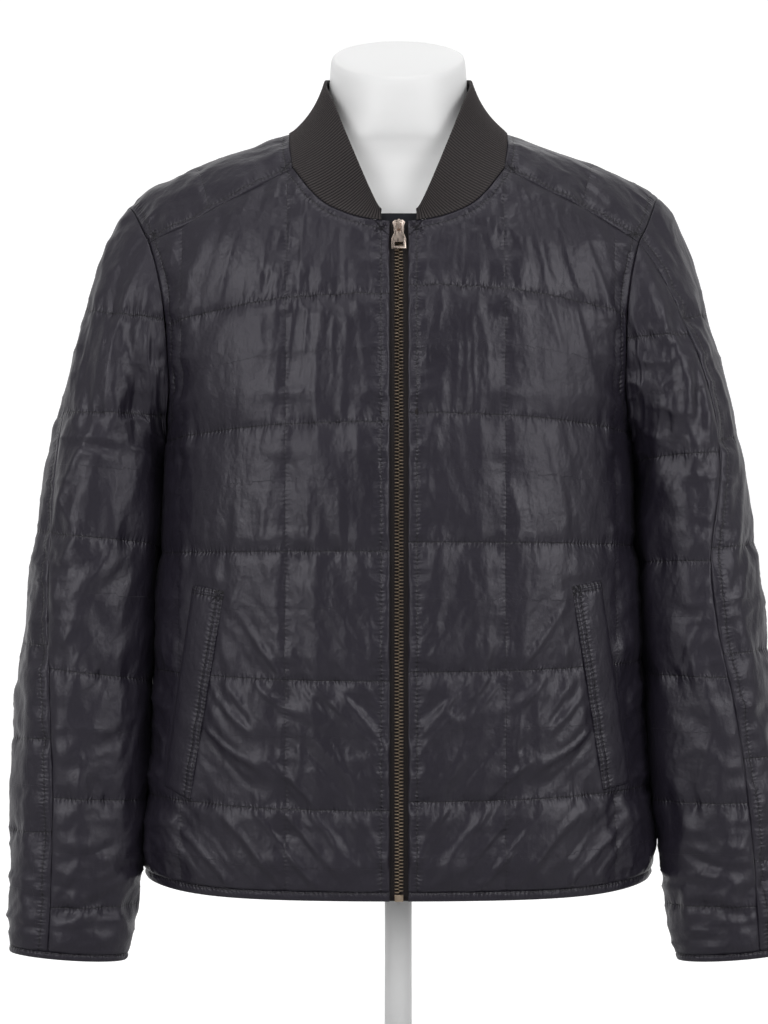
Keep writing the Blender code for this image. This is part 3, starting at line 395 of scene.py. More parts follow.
BACK_FOLDS = [
    (-0.0700, 0.6200, -0.0950, 0.5200, 0.0060, 0.0110, 0.0022),
    (0.0750, 0.6150, 0.0980, 0.5250, -0.0060, 0.0110, 0.0020),
    (-0.1800, 0.5400, -0.1450, 0.4300, 0.0070, 0.0110, 0.0026),
    (0.1820, 0.5300, 0.1500, 0.4350, -0.0060, 0.0110, 0.0024),
    (-0.1950, 0.4400, -0.1600, 0.3600, 0.0050, 0.0100, 0.0022),
    (0.1960, 0.4350, 0.1580, 0.3500, -0.0050, 0.0100, 0.0022),
    (-0.0300, 0.4000, -0.0200, 0.3000, 0.0060, 0.0140, 0.0016),
    (0.0800, 0.3800, 0.0700, 0.2900, -0.0050, 0.0130, 0.0014),
    (-0.0900, 0.2600, -0.1050, 0.1700, 0.0050, 0.0130, 0.0014),
    (0.0250, 0.2200, 0.0380, 0.1300, -0.0050, 0.0120, 0.0014),
    (0.1300, 0.2500, 0.1450, 0.1600, 0.0050, 0.0130, 0.0014),
]
SLEEVE_FOLDS = {
    "right": [
        (-0.2490, 0.5150, -0.2400, 0.4250, 0.0050, 0.0090, 0.0052),
        (-0.2330, 0.4750, -0.2280, 0.3950, -0.0040, 0.0070, 0.0034),
        (-0.2981, 0.4046, -0.2465, 0.3955, 0.0030, 0.0042, 0.0024),
        (-0.2850, 0.5100, -0.2900, 0.4150, 0.0050, 0.0090, 0.0024),
        (-0.2650, 0.3750, -0.2700, 0.2950, -0.0040, 0.0090, 0.0018),
        (-0.2780, 0.2650, -0.2600, 0.2150, 0.0040, 0.0080, 0.0018),
        (-0.2480, 0.2950, -0.2900, 0.2600, 0.0050, 0.0075, 0.0016),
        (-0.3280, 0.3150, -0.3050, 0.2820, 0.0030, 0.0070, 0.0020),
        (-0.2500, 0.1500, -0.2850, 0.1250, 0.0040, 0.0080, 0.0016),
        (-0.2550, 0.0450, -0.3050, 0.0320, 0.0040, 0.0055, 0.0022),
        (-0.3400, 0.0250, -0.2900, 0.0050, -0.0040, 0.0050, 0.0024),
        (-0.2560, 0.0020, -0.3150, -0.0180, 0.0040, 0.0045, 0.0024),
        (-0.3450, -0.0300, -0.2850, -0.0330, 0.0030, 0.0040, 0.0020),
    ],
    "left": [
        (0.2170, 0.4550, 0.2300, 0.3370, -0.0050, 0.0090, 0.0052),
        (0.2659, 0.4740, 0.2659, 0.4100, 0.0040, 0.0060, 0.0044),
        (0.2420, 0.5050, 0.2400, 0.4400, 0.0040, 0.0080, 0.0030),
        (0.2850, 0.4950, 0.2930, 0.4250, -0.0040, 0.0090, 0.0020),
        (0.2620, 0.3750, 0.2700, 0.3150, 0.0040, 0.0085, 0.0020),
        (0.3050, 0.3800, 0.3000, 0.3300, 0.0040, 0.0080, 0.0018),
        (0.2450, 0.2650, 0.2850, 0.2350, -0.0040, 0.0080, 0.0016),
        (0.2550, 0.1650, 0.2900, 0.1300, 0.0040, 0.0080, 0.0016),
        (0.3350, 0.1750, 0.3100, 0.1500, 0.0030, 0.0070, 0.0018),
        (0.2550, 0.0400, 0.3000, 0.0250, -0.0040, 0.0055, 0.0022),
        (0.3450, 0.0200, 0.2950, -0.0020, 0.0040, 0.0050, 0.0024),
        (0.2600, -0.0080, 0.3200, -0.0250, 0.0040, 0.0045, 0.0022),
    ],
}


# ---- curves and surfaces, as in the CAD -------------------------------------------------------

def smooth(at, knots, values):
    """A cubic through the rows, whose slope at each row follows the rows on both sides of it."""
    slopes = np.gradient(values, knots)
    at = np.clip(at, knots[0], knots[-1])
    k = np.clip(np.searchsorted(knots, at) - 1, 0, len(knots) - 2)
    span = knots[k + 1] - knots[k]
    t = (at - knots[k]) / span
    start = (1 + 2 * t) * (1 - t) ** 2 * values[k] + t * (1 - t) ** 2 * span * slopes[k]
    end = t * t * (3 - 2 * t) * values[k + 1] + t * t * (t - 1) * span * slopes[k + 1]
    return start + end


def unit(vectors):
    """The vectors at length one."""
    return vectors / np.maximum(np.linalg.norm(vectors, axis=-1, keepdims=True), 1e-12)


def arc(line):
    """Length run along a line of points, from nothing at its first."""
    return np.concatenate([[0.0], np.cumsum(np.linalg.norm(np.diff(line, axis=0), axis=1))])


def ring(rise):
    """Half width, front depth and back depth of the trunk at this rise."""
    return [smooth(rise, RINGS[:, 0], RINGS[:, column]) for column in (1, 2, 3)]


def body(turn, wrap):
    """Point of the body surface: turn is the angle from the centre line to the side seam, 90
    degrees, and wrap the way down from the ridge, positive in front and negative behind."""
    lateral = np.sin(turn)
    ridge = smooth(np.abs(lateral) * RIDGE_HALF, RIDGE[:, 0], RIDGE[:, 1])
    down = np.abs(wrap)
    bend = np.minimum(down, math.pi / 2)
    rise = ridge - ROUND * (1 - np.cos(bend) + down - bend)
    half, front, back = ring(rise)
    depth = np.where(wrap > 0, -front, back) * np.sin(bend)
    outline = np.cos(turn) * (1 + FULL * lateral ** 2)
    return np.stack([half * lateral, CENTRE_Y + depth * outline, HEM_Z + rise], axis=-1)


def place(across, rise, face=1.0):
    """Turn and wrap of the point this far across and this high, in front or, at face -1, behind."""
    across, rise = np.broadcast_arrays(np.asarray(across, float), np.asarray(rise, float))
    lateral = np.clip(across / ring(rise)[0], -1, 1)
    ridge = smooth(np.abs(lateral) * RIDGE_HALF, RIDGE[:, 0], RIDGE[:, 1])
    fall = np.maximum((ridge - rise) / ROUND, 0)
    wrap = np.where(fall < 1, np.arccos(np.clip(1 - fall, -1, 1)), math.pi / 2 + fall - 1)
    return np.stack([np.arcsin(lateral), face * wrap], axis=-1)


def body_normal(params):
    """Outward direction of the body surface, from small steps either way."""
    step = 1e-3
    turn, wrap = params[..., 0], params[..., 1]
    along = body(turn + step, wrap) - body(turn - step, wrap)
    down = body(turn, wrap + step) - body(turn, wrap - step)
    return unit(np.cross(down, along))


def through(rows):
    """A smooth dense line through rows of turn and wrap."""
    length = arc(body(*rows.T))
    at = np.linspace(0, length[-1], DENSE)
    return np.stack([smooth(at, length, rows[:, k]) for k in (0, 1)], axis=-1)


def divide(line, cells):
    """The dense line at equal steps of its length on the body surface."""
    length = arc(body(*line.T))
    at = np.linspace(0, length[-1], cells + 1)
    return np.stack([np.interp(at, length, line[:, k]) for k in (0, 1)], axis=-1)


def join(*lines):
    """Lines end to end, with each shared point once."""
    return np.concatenate([lines[0]] + [line[1:] for line in lines[1:]])


def patch(foot, top, near, far):
    """Grid between four edges: a sheet ruled from foot to top, bent at each side by what that
    edge strays from straight, which fades with the cube of the distance."""
    u = np.linspace(0, 1, len(foot))[None, :, None]
    v = np.linspace(0, 1, len(near))[:, None, None]
    ruled = (1 - v) * foot[None] + v * top[None]
    stray_near = near[:, None] - ((1 - v) * foot[0] + v * top[0])
    stray_far = far[:, None] - ((1 - v) * foot[-1] + v * top[-1])
    return ruled + (1 - u) ** 3 * stray_near + u ** 3 * stray_far


# ---- edges of the trunk's pieces, for the wearer's left; the right is mirrored ----------------

def hem_line(start, end, face, rise, cells):
    """The line at this rise from one turn to another, lifted towards the side seam."""
    lateral = np.sin(np.linspace(start, end, DENSE))
    rise = rise + HEM_LIFT * lateral ** 6
    return divide(place(lateral * ring(rise)[0], rise, face), cells)


def side_seam(face, cells):
    """From the band up to the underarm, where the trunk is widest."""
    rise = np.linspace(BAND + HEM_LIFT, UNDERARM_RISE, DENSE)
    return divide(place(ring(rise)[0], rise, face), cells)


def shifted(rows, side):
    """Armhole rows moved out in step with their height."""
    share = (rows[:, 0] - UNDERARM_RISE) / (ARMHOLE_TIP_RISE - UNDERARM_RISE)
    return rows[:, 1] + ARMHOLE_SHIFT[side] * share


def armhole_front(side, cells):
    """From the underarm up to the shoulder seam."""
    return divide(through(place(shifted(ARMHOLE_FRONT, side), ARMHOLE_FRONT[:, 0])), cells)


def armhole_tip(side):
    """Turn and wrap of the armhole's top, on the ridge."""
    tip = ARMHOLE_TIP + ARMHOLE_SHIFT[side]
    return np.array([(math.asin(tip / RIDGE_HALF), 0.0)])


def armhole_back(side, cells):
    """From the underarm up the back to the ridge."""
    rows = place(shifted(ARMHOLE_BACK, side), ARMHOLE_BACK[:, 0], -1.0)
    return divide(through(np.concatenate([rows, armhole_tip(side)])), cells)


def armhole_top(side, cells):
    """From the ridge forward to the shoulder seam."""
    end = ARMHOLE_FRONT[-1:]
    low = place(shifted(end, side), end[:, 0])
    middle = place(shifted(end, side) + 0.0105, end[:, 0] + 0.021)
    return divide(through(np.concatenate([armhole_tip(side), middle, low])), cells)


def shoulder_seam(side, cells):
    """From the neckline to the armhole."""
    rows = place(SHOULDER_SEAM[:, 0], SHOULDER_SEAM[:, 1])
    rows[-1] = place(shifted(ARMHOLE_FRONT[-1:], side), ARMHOLE_FRONT[-1:, 0])[0]
    return divide(through(rows), cells)


def neckline_front(cells):
    """From the front edge to the shoulder seam."""
    return divide(through(place(NECKLINE[:, 0], NECKLINE[:, 1])), cells)


def neckline_back(cells):
    """From the ridge to the centre back, a quarter of an oval."""
    t = np.linspace(0, math.pi / 2, 9)
    lateral = NECK_HALF / RIDGE_HALF * np.cos(t)
    return divide(through(np.stack([np.arcsin(lateral), -BACK_NECK_TURN * np.sin(t)], -1)), cells)


def neckline_top(cells):
    """From the ridge forward to the shoulder seam."""
    rows = place(NECKLINE_TOP[:, 0], NECKLINE_TOP[:, 1])
    rows[0] = (math.asin(NECK_HALF / RIDGE_HALF), 0.0)
    return divide(through(rows), cells)


def ridge_line(side, cells):
    """From the neckline out to the armhole along the ridge."""
    ends = np.array([(math.asin(NECK_HALF / RIDGE_HALF), 0.0), armhole_tip(side)[0]])
    return divide(np.linspace(ends[0], ends[1], DENSE), cells)


def front_edge(cells):
    """Straight up beside the zip, from the band to the neck."""
    rise = np.linspace(BAND, NECK_RISE, DENSE)
    return divide(place(ZIP_HALF_GAP, rise), cells)


def front_params(side, a, b):
    """Grid of the front: across from the zip to the side, up from the band to the neck."""
    start = place(ZIP_HALF_GAP, BAND)[0]
    foot = hem_line(start, math.pi / 2, 1.0, BAND, (NECK_CELLS + SHOULDER_CELLS) * a)
    top = join(neckline_front(NECK_CELLS * a), shoulder_seam(side, SHOULDER_CELLS * a))
    far = join(side_seam(1.0, SIDE_CELLS * b), armhole_front(side, ARM_CELLS * b))
    return patch(foot, top, front_edge((SIDE_CELLS + ARM_CELLS) * b), far)


def back_params(a, b):
    """Grid of the back: across from the right side to the left, up to the ridge and, in the
    shoulder columns only, over it to the shoulder seam. The middle of the last rows is empty."""
    shoulder_cells, top_cells = SHOULDER_CELLS * a, TOP_CELLS * b
    columns = 2 * (NECK_CELLS * a + shoulder_cells) + 1
    grid = np.full(((SIDE_CELLS + ARM_CELLS) * b + top_cells + 1, columns, 2), np.nan)
    edges = {}
    for side in SIGN:
        flip = np.array([SIGN[side], 1.0])
        ridge = ridge_line(side, shoulder_cells)
        far = join(side_seam(-1.0, SIDE_CELLS * b), armhole_back(side, ARM_CELLS * b))
        edges[side] = (join(ridge[::-1], neckline_back(NECK_CELLS * a)) * flip, far * flip)
        seam = shoulder_seam(side, shoulder_cells)
        shoulder = patch(ridge, seam, neckline_top(top_cells), armhole_top(side, top_cells)) * flip
        if side == "left":
            grid[-top_cells - 1:, -shoulder_cells - 1:] = shoulder
        else:
            grid[-top_cells - 1:, :shoulder_cells + 1] = shoulder[:, ::-1]
    foot = hem_line(-math.pi / 2, math.pi / 2, -1.0, BAND, columns - 1)
    top = join(edges["right"][0], edges["left"][0][::-1])
    grid[:-top_cells] = patch(foot, top, edges["right"][1], edges["left"][1])
    return grid


# ---- sleeves ----------------------------------------------------------------------------------

def armhole_ring(side, k):
    """Turn and wrap round the armhole, from the tip down the front and up the back to the tip."""
    top = armhole_top(side, TOP_CELLS * k)
    front = armhole_front(side, ARM_CELLS * k)[::-1]
    back = armhole_back(side, ARM_CELLS * k)
    return join(top, front, back)


def sleeve_point(side, angle, rise):
    """Point of the sleeve below the biceps, its section an ellipse."""
    rows = SLEEVES[side]
    outer, inner, middle, depth = [smooth(rise, rows[:, 0], rows[:, k]) for k in (1, 2, 3, 4)]
    fade = np.clip((BICEPS_RISE - rise) / (BICEPS_RISE - CUFF_RISE), 0, 1)
    across = (outer + inner) / 2 + (outer - inner) / 2 * np.cos(angle)
    height = rise + CUFF_TILT * np.cos(angle) * fade
    return np.stack([across, middle - depth * np.sin(angle), HEM_Z + height], axis=-1)


def seam_angles(side, rise, k):
    """Angle of each ring place at this rise, spread evenly between the two sleeve seams."""
    rows = SLEEVE_SEAMS[side]
    first, second = [np.radians(smooth(rise, rows[:, 0], rows[:, k])) for k in (1, 2)]
    place_on_ring = np.linspace(0, RING_CELLS, RING_CELLS * k + 1)
    start, split = FRONT_SPLIT[side], BACK_SPLIT
    inner = first + (second - first) * (place_on_ring - start) / (split - start)
    lap = RING_CELLS - split + start
    ahead = second + (first + 2 * math.pi - second) * (place_on_ring - split) / lap
    behind = ahead + (first + 2 * math.pi - second) * RING_CELLS / lap - 2 * math.pi
    return np.where(place_on_ring < start, behind, np.where(place_on_ring > split, ahead, inner))


def sleeve_grid(side, k, m):
    """Rows from the armhole to the cuff band, each once round from the tip.

    Above the biceps every line of the grid is a cubic, which leaves the armhole outwards and
    meets the biceps in line with the sleeve below."""
    start = body(*armhole_ring(side, k).T)
    length = arc(start)
    bottom = (TOP_CELLS + ARM_CELLS) * k
    round_front = math.pi * length / length[bottom]
    round_back = math.pi * (1 + (length - length[bottom]) / (length[-1] - length[bottom]))
    around = np.where(length <= length[bottom], round_front, round_back)
    open_out = 0.75 * (1 - ((1 - np.cos(around)) / 2) ** 2)
    leave = unit(np.stack([open_out, -0.25 * np.sin(around), -0.8 - 0.1 * open_out], axis=-1))
    angles = seam_angles(side, np.float64(BICEPS_RISE), k)
    end = sleeve_point(side, angles, BICEPS_RISE)
    step = 0.01
    lower = BICEPS_RISE - step
    below = sleeve_point(side, seam_angles(side, np.float64(lower), k), lower)
    chord = np.linalg.norm(end - start, axis=1)[:, None]
    out, arrive = 0.53 * chord * leave, chord * (below - end) / step
    t = np.linspace(0, 1, SLEEVE_CAP_CELLS * m + 1)[:, None, None]
    cap = (
        (2 * t ** 3 - 3 * t ** 2 + 1) * start
        + (t ** 3 - 2 * t ** 2 + t) * out
        + (3 * t ** 2 - 2 * t ** 3) * end
        + (t ** 3 - t ** 2) * arrive
    )
    rises = np.linspace(BICEPS_RISE, CUFF_RISE + CUFF_BAND, SLEEVE_CELLS * m + 1)[1:]
    tube = np.array([sleeve_point(side, seam_angles(side, rise, k), rise) for rise in rises])
    return np.concatenate([cap, tube])


def ring_normals(grid):
    """Outward directions on a grid whose first and last columns are the same line."""
    around = np.roll(grid[:, :-1], -1, axis=1) - np.roll(grid[:, :-1], 1, axis=1)
    along = np.gradient(grid[:, :-1], axis=0)
    normals = unit(np.cross(around, along))
    return np.concatenate([normals, normals[:, :1]], axis=1)


def trimmed(grid, closed=False):
    """The grid with its open edges drawn in by half the seam gap."""
    grid = grid.copy()
    for edge, inside in ((0, 1), (-1, -2)):
        grid[edge] += unit(grid[inside] - grid[edge]) * GAP / 2
    if not closed:
        for edge, inside in ((0, 1), (-1, -2)):
            grid[:, edge] += unit(grid[:, inside] - grid[:, edge]) * GAP / 2
    return grid


def trimmed_back(grid, a, b):
    """The same for the back, whose neckline is the step in its grid."""
    grid = trimmed(grid)
    shoulder = SHOULDER_CELLS * a
    neck = slice(shoulder + 1, -shoulder - 1)
    ridge = -TOP_CELLS * b - 1
    grid[ridge, neck] += unit(grid[ridge - 1, neck] - grid[ridge, neck]) * GAP / 2
    for edge, inside in ((shoulder, shoulder - 1), (-shoulder - 1, -shoulder)):
        grid[ridge:, edge] += unit(grid[ridge:, inside] - grid[ridge:, edge]) * GAP / 2
    return grid


def mirror(points, side):
    """Points made for the wearer's left, on this side."""
    return points * np.array([SIGN[side], 1.0, 1.0])


# ---- padding, folds and stitched lines --------------------------------------------------------

def noise(points, size, seed):
    """Smooth noise from -1 to 1: seeded random numbers at the corners of a lattice with cells of
    that size, blended in each cell by smoothstep."""
    table = np.random.default_rng(seed).uniform(-1, 1, (32, 32, 32))
    at = np.nan_to_num(points) / np.asarray(size)
    low = np.floor(at).astype(int)
    share = at - low
    share = share * share * (3 - 2 * share)
    total = np.zeros(at.shape[:-1])
    for corner in np.ndindex(2, 2, 2):
        weight = np.prod(np.where(corner, share, 1 - share), axis=-1)
        total += weight * table[tuple(np.moveaxis((low + corner) % 32, -1, 0))]
    return total


def step_up(value, low, high):
    """0 below low, 1 above high, smoothstep between."""
    t = np.clip((value - low) / (high - low), 0, 1)
    return t * t * (3 - 2 * t)


def along_edge(points, edge):
    """Each point's distance from a line of points, and how far along the line it lies.

    The nearest point of the line is found, and the rest is measured across and along the line's
    direction there. Past the ends the plain distance counts."""
    flat = np.nan_to_num(points.reshape(-1, 3), nan=9.0)
    length, direction = arc(edge), unit(np.gradient(edge, axis=0))
    nearest = np.concatenate([
        np.argmin(((part[:, None] - edge[None]) ** 2).sum(-1), axis=1)
        for part in np.array_split(flat, max(1, len(flat) // CHUNK))
    ])
    offset = flat - edge[nearest]
    on = (offset * direction[nearest]).sum(-1)
    reach = np.linalg.norm(offset, axis=1)
    past = ((nearest == 0) & (on < 0)) | ((nearest == len(edge) - 1) & (on > 0))
    away = np.where(past, reach, np.sqrt(np.maximum(reach ** 2 - on ** 2, 0)))
    return away.reshape(points.shape[:-1]), (length[nearest] + on).reshape(points.shape[:-1])


def cloth_metres(grid):
    """Length run across and up the cloth at each grid point."""
    right = np.nan_to_num(np.linalg.norm(np.diff(grid, axis=1), axis=-1))
    up = np.nan_to_num(np.linalg.norm(np.diff(grid, axis=0), axis=-1))
    u = np.concatenate([np.zeros((len(grid), 1)), np.cumsum(right, axis=1)], axis=1)
    v = np.concatenate([np.zeros((1, grid.shape[1])), np.cumsum(up, axis=0)], axis=0)
    return u, v


def fold_relief(points, normals, rows, face):
    """Sum of the folds on the side of the cloth that faces this way along Y.

    Each fold is a bell-shaped trough along a bent line, with a lower bell on both sides, and fades
    to nothing at both ends and round the side."""
    across, rise = points[..., 0], points[..., 2] - HEM_Z
    relief = np.zeros(across.shape)
    for x0, z0, x1, z1, bend, half, depth in rows:
        length = math.hypot(x1 - x0, z1 - z0)
        ux, uz = (x1 - x0) / length, (z1 - z0) / length
        t = ((across - x0) * ux + (rise - z0) * uz) / length
        inside = np.clip(t, 0, 1)
        off = (across - x0) * -uz + (rise - z0) * ux - 4 * bend * inside * (1 - inside)
        width = half * (0.75 + inside * 0.5)
        trough, *banks = [
            np.exp(-((off - shift * width) / width / spread) ** 2) for shift, spread in BELLS
        ]
        ends = (4 * inside * (1 - inside)) ** 0.8 * np.exp(-((t - inside) * length / 0.004) ** 2)
        relief += depth * ends * (0.42 * (banks[0] + banks[1]) - trough)
    return relief * step_up(-face * normals[..., 1], 0.05, 0.45)


class Lines:
    """The seams and stitched lines of one piece: how far they pull its padding in, and for each kind
    of stitched line, the nearest one to each point."""

    def __init__(self, points):
        shape = points.shape[:-1]
        self.points = points
        self.fill, self.gather, self.edge = np.ones(shape), np.zeros(shape), np.full(shape, FAR)
        self.off = {kind: np.full(shape, FAR) for kind in QUILT_PULL}
        self.along = {kind: np.zeros(shape) for kind in QUILT_PULL}

    def pull(self, distance, amount, reach):
        """Leaves of the padding what an exponential in the distance does not pull in."""
        self.fill *= 1 - amount * np.exp(-np.abs(distance) / reach)

    def stitch(self, signed, along, kind="stitch"):
        """Records a stitched line where it is the nearest of its kind, with its gathers: noise
        along it, fine close to it and coarse further out."""
        nearer = np.abs(signed) < np.abs(self.off[kind])
        self.off[kind] = np.where(nearer, signed, self.off[kind])
        self.along[kind] = np.where(nearer, along, self.along[kind])
        for pitch, reach, height, seed in GATHERS:
            at = np.stack([along / pitch, signed / (6 * reach), np.zeros_like(along)], axis=-1)
            fade = np.exp(-np.abs(signed) / reach)
            self.gather += QUILT_PULL[kind] * height * noise(at, 1.0, seed) * fade

    def quilted(self, signed, along, kind):
        """A quilted line, which pulls the padding in and is stitched."""
        self.pull(signed, QUILT_PULL[kind], LINE_REACH)
        self.stitch(signed, along, kind)

    def seam(self, edge, reach=SEAM_REACH, topstitch=None, amount=0.75, ruffle=None):
        """A seam along an edge of the piece, a topstitched line at that distance from it, and the
        named ruffle: sharp-crested waves along the seam under a bell in the distance."""
        distance, along = along_edge(self.points, edge)
        self.pull(distance, amount, reach)
        if ruffle:
            height, pitch, far = RUFFLES[ruffle]
            at = np.stack([along / pitch, distance / (2 * far), np.zeros_like(along)], axis=-1)
            crest = (1 - np.abs(noise(at, 1.0, 17))) ** 2 - 0.4
            self.gather += height * crest * np.exp(-(distance / far) ** 2)
        self.edge = np.minimum(self.edge, distance)
        if topstitch:
            self.pull(distance - topstitch, TOPSTITCH_PULL, TOPSTITCH_REACH)
            self.stitch(distance - topstitch, along)

    def free(self):
        """0 on the seams and 1 a little way from them, for what must not open a seam."""
        return 1 - np.exp(-self.edge / SEAM_FREE)

    def relief(self):
        """Padding and gathers together, half of the padding in and half out."""
        return PUFF * (self.fill - 0.45) + self.gather * self.free()

    def boxes(self):
        """0 on the level lines and 1 a little way from them, because each box has its own streaks."""
        return 1 - np.exp(-np.abs(self.off["level"]) / LEVEL_FREE)

    def fields(self):
        """The stitched lines as numbers for each point, which the nylon reads."""
        pairs = [(kind + "_off", self.off[kind]) for kind in self.off]
        return dict(pairs + [(kind + "_along", self.along[kind]) for kind in self.along])


def streaks(across, along, box, seed):
    """Long narrow folds: noise stretched along their direction plus bells where it is zero. box is
    a whole number, and every box has its own."""
    relief = np.zeros(across.shape)
    for width, length, height, offset in STREAKS:
        own = seed + offset
        bend = 0.6 * noise(np.stack([along / length, 0 * along, box + 0.5], -1), 1.0, own + 7)
        value = noise(np.stack([across / width + bend, along / length, 5.5 * box + 0.5], -1), 1.0, own)
        here = 0.55 + 0.45 * noise(np.stack([across / 0.07, along / 0.09, box + 0.5], -1), 1.0, own + 5)
        relief += height * here * (0.8 * value + 0.9 * np.exp(-(value / 0.2) ** 2) - 0.25)
    return relief


def fanned(across, rise):
    """Distance across the fan of streaks, and along it."""
    x, z = np.abs(across) - FAN_APEX[0], FAN_APEX[1] - rise
    return np.copysign(0.42 * np.arctan2(x, z) + 0.5, across), np.hypot(x, z)


def wrinkles(points, seed, low=0.0):
    """Crinkles: bells on the lines where a warped noise is zero, which come and go with a broader
    noise. low adds more of them."""
    warp = np.stack([noise(points, 0.07, seed + k) for k in (3, 4, 5)], axis=-1) * 0.018
    at = np.nan_to_num(points) + warp
    relief = np.zeros(points.shape[:-1])
    for size, width, height, offset in CRINKLES:
        here = np.clip(0.15 + low + 1.2 * noise(points, 0.09, seed + offset + 9), 0, 1)
        value = noise(at, size, seed + offset)
        relief = relief + height * here * (np.exp(-(value / width) ** 2) - 0.3)
    return relief


def crumple(points, size, seed):
    """Sharp-crested waves: one less the size of the noise, cubed."""
    crest = 1 - np.abs(noise(points, size, seed))
    return crest ** 3 - 0.4


def under_arm(lean, rise, side):
    """1 on cloth that faces this way along X, -1 or 1, below the armhole, where sleeve and trunk
    touch: a product of smoothsteps in the direction and in the rise."""
    facing = step_up(lean[..., 0] * side, 0.45, 0.95)
    return facing * step_up(rise, 0.01, 0.10) * step_up(-rise, -0.43, -0.38)


def droop(across, level):
    """How far a level line sinks towards the side: a power of the distance across, most high up."""
    return -0.022 * (np.abs(across) / 0.2) ** 2.5 * np.clip((level - 0.30) / 0.24, -0.25, 1.0)


def slopes(normals):
    """Length of cloth for each metre of rise, and for each metre across at one height."""
    flat = np.sqrt(np.maximum(1 - normals[..., 2] ** 2, 0.02))
    return 1 / flat, flat / np.maximum(np.abs(normals[..., 1]), 0.2)


# ---- meshes -----------------------------------------------------------------------------------

def add_mesh(name, points, faces, finish, fields=None, uv=None):
    """A new piece at the origin. faces are lists of the points' numbers. fields are numbers for
    each point, uv two for each point."""
    mesh = bpy.data.meshes.new(name)
    mesh.from_pydata(points.tolist(), [], faces)
    for key, values in (fields or {}).items():
        layer = mesh.attributes.new(key, "FLOAT", "POINT")
        layer.data.foreach_set("value", np.ascontiguousarray(values, np.float32))
    if uv is not None:
        corner = np.empty(len(mesh.loops), np.int32)
        mesh.loops.foreach_get("vertex_index", corner)
        layer = mesh.uv_layers.new(name="cloth")
        layer.data.foreach_set("uv", np.ascontiguousarray(uv[corner], np.float32).ravel())
    mesh.materials.append(finish)
    mesh.shade_smooth()
    made = bpy.data.objects.new(name, mesh)
    bpy.context.scene.collection.objects.link(made)
    return made


def turned_out(made):
    """The closed piece with its faces pointing outwards."""
    work = bmesh.new()
    work.from_mesh(made.data)
    if work.calc_volume(signed=True) < 0:
        bmesh.ops.reverse_faces(work, faces=work.faces)
    work.to_mesh(made.data)
    work.free()
    return made


def shell(name, face, back, finish, fields=None, closed=False):
    """A closed wall between two grids, with a rim one cell wide along every edge. Cells with an
    empty corner are left out. A closed wall's last column is its first."""
    u, v = cloth_metres(face)
    fields = dict(fields or {})
    if closed:
        face, back, u, v = face[:, :-1], back[:, :-1], u[:, :-1], v[:, :-1]
        fields = {key: value[:, :-1] for key, value in fields.items()}
    index = np.arange(face.shape[0] * face.shape[1]).reshape(face.shape[:2])
    if closed:
        index = np.concatenate([index, index[:, :1]], axis=1)
    corners = index[:-1, :-1], index[:-1, 1:], index[1:, 1:], index[1:, :-1]
    cells = np.stack(corners, -1).reshape(-1, 4)
    points = face.reshape(-1, 3)
    cells = cells[np.isfinite(points[cells]).all(axis=(1, 2))]
    used, cells = np.unique(cells, return_inverse=True)
    cells = cells.reshape(-1, 4)
    count = len(used)
    edges = np.stack([cells, np.roll(cells, -1, axis=1)], axis=-1).reshape(-1, 2)
    codes = edges[:, 0] * count + edges[:, 1]
    first, second = edges[~np.isin(codes, edges[:, 1] * count + edges[:, 0])].T
    rims = np.stack([second, first, first + count, second + count], axis=-1)
    faces = np.concatenate([cells, cells[:, ::-1] + count, rims])
    both = np.concatenate([points[used], back.reshape(-1, 3)[used]])
    uv = np.stack([u.ravel()[used], v.ravel()[used]], axis=-1)
    doubled = {key: np.tile(value.ravel()[used], 2) for key, value in fields.items()}
    return turned_out(add_mesh(name, both, faces.tolist(), finish, doubled, np.tile(uv, (2, 1))))


def stands_for(piece, node, body_name=ROOT):
    """Takes the place of the CAD node, on the body that it rides."""
    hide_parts(node)
    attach(piece, body_name)
    return piece


def cloth_piece(name, face, lean, lines, finish, closed=False, thick=CLOTH):
    """A wall of cloth that stands for the CAD node of that name."""
    piece = shell(name + "_cloth", face, face - thick * lean, finish, lines.fields(), closed)
    return stands_for(piece, name)


# ---- finishes ---------------------------------------------------------------------------------

class Signal:
    """A number socket of a finish's node tree. Arithmetic on it adds the finish's Math nodes."""

    def __init__(self, finish, socket):
        self.finish, self.socket = finish, socket

    def maths(self, operation, *values):
        """The operation on up to three numbers or signals."""
        return self.finish.node("ShaderNodeMath", {"operation": operation}, dict(enumerate(values)))

    def __add__(self, other):
        return self.maths("ADD", self, other)

    def __radd__(self, other):
        return self.maths("ADD", other, self)

    def __sub__(self, other):
        return self.maths("SUBTRACT", self, other)

    def __rsub__(self, other):
        return self.maths("SUBTRACT", other, self)

    def __mul__(self, other):
        return self.maths("MULTIPLY", self, other)

    def __rmul__(self, other):
        return self.maths("MULTIPLY", other, self)

    def __truediv__(self, other):
        return self.maths("DIVIDE", self, other)

    def __rtruediv__(self, other):
        return self.maths("DIVIDE", other, self)

    def __pow__(self, other):
        return self.maths("POWER", self, other)

    def __abs__(self):
        return self.maths("ABSOLUTE", self)

    def sine(self, period, shift=0.0):
        """From -1 to 1, once in each period."""
        return self.maths("SINE", self * (2 * math.pi / period) + shift)

    def bell(self, half):
        """1 at zero and fading to both sides: one over one plus the square of the share of half."""
        return 1 / (1 + (self / half) ** 2)


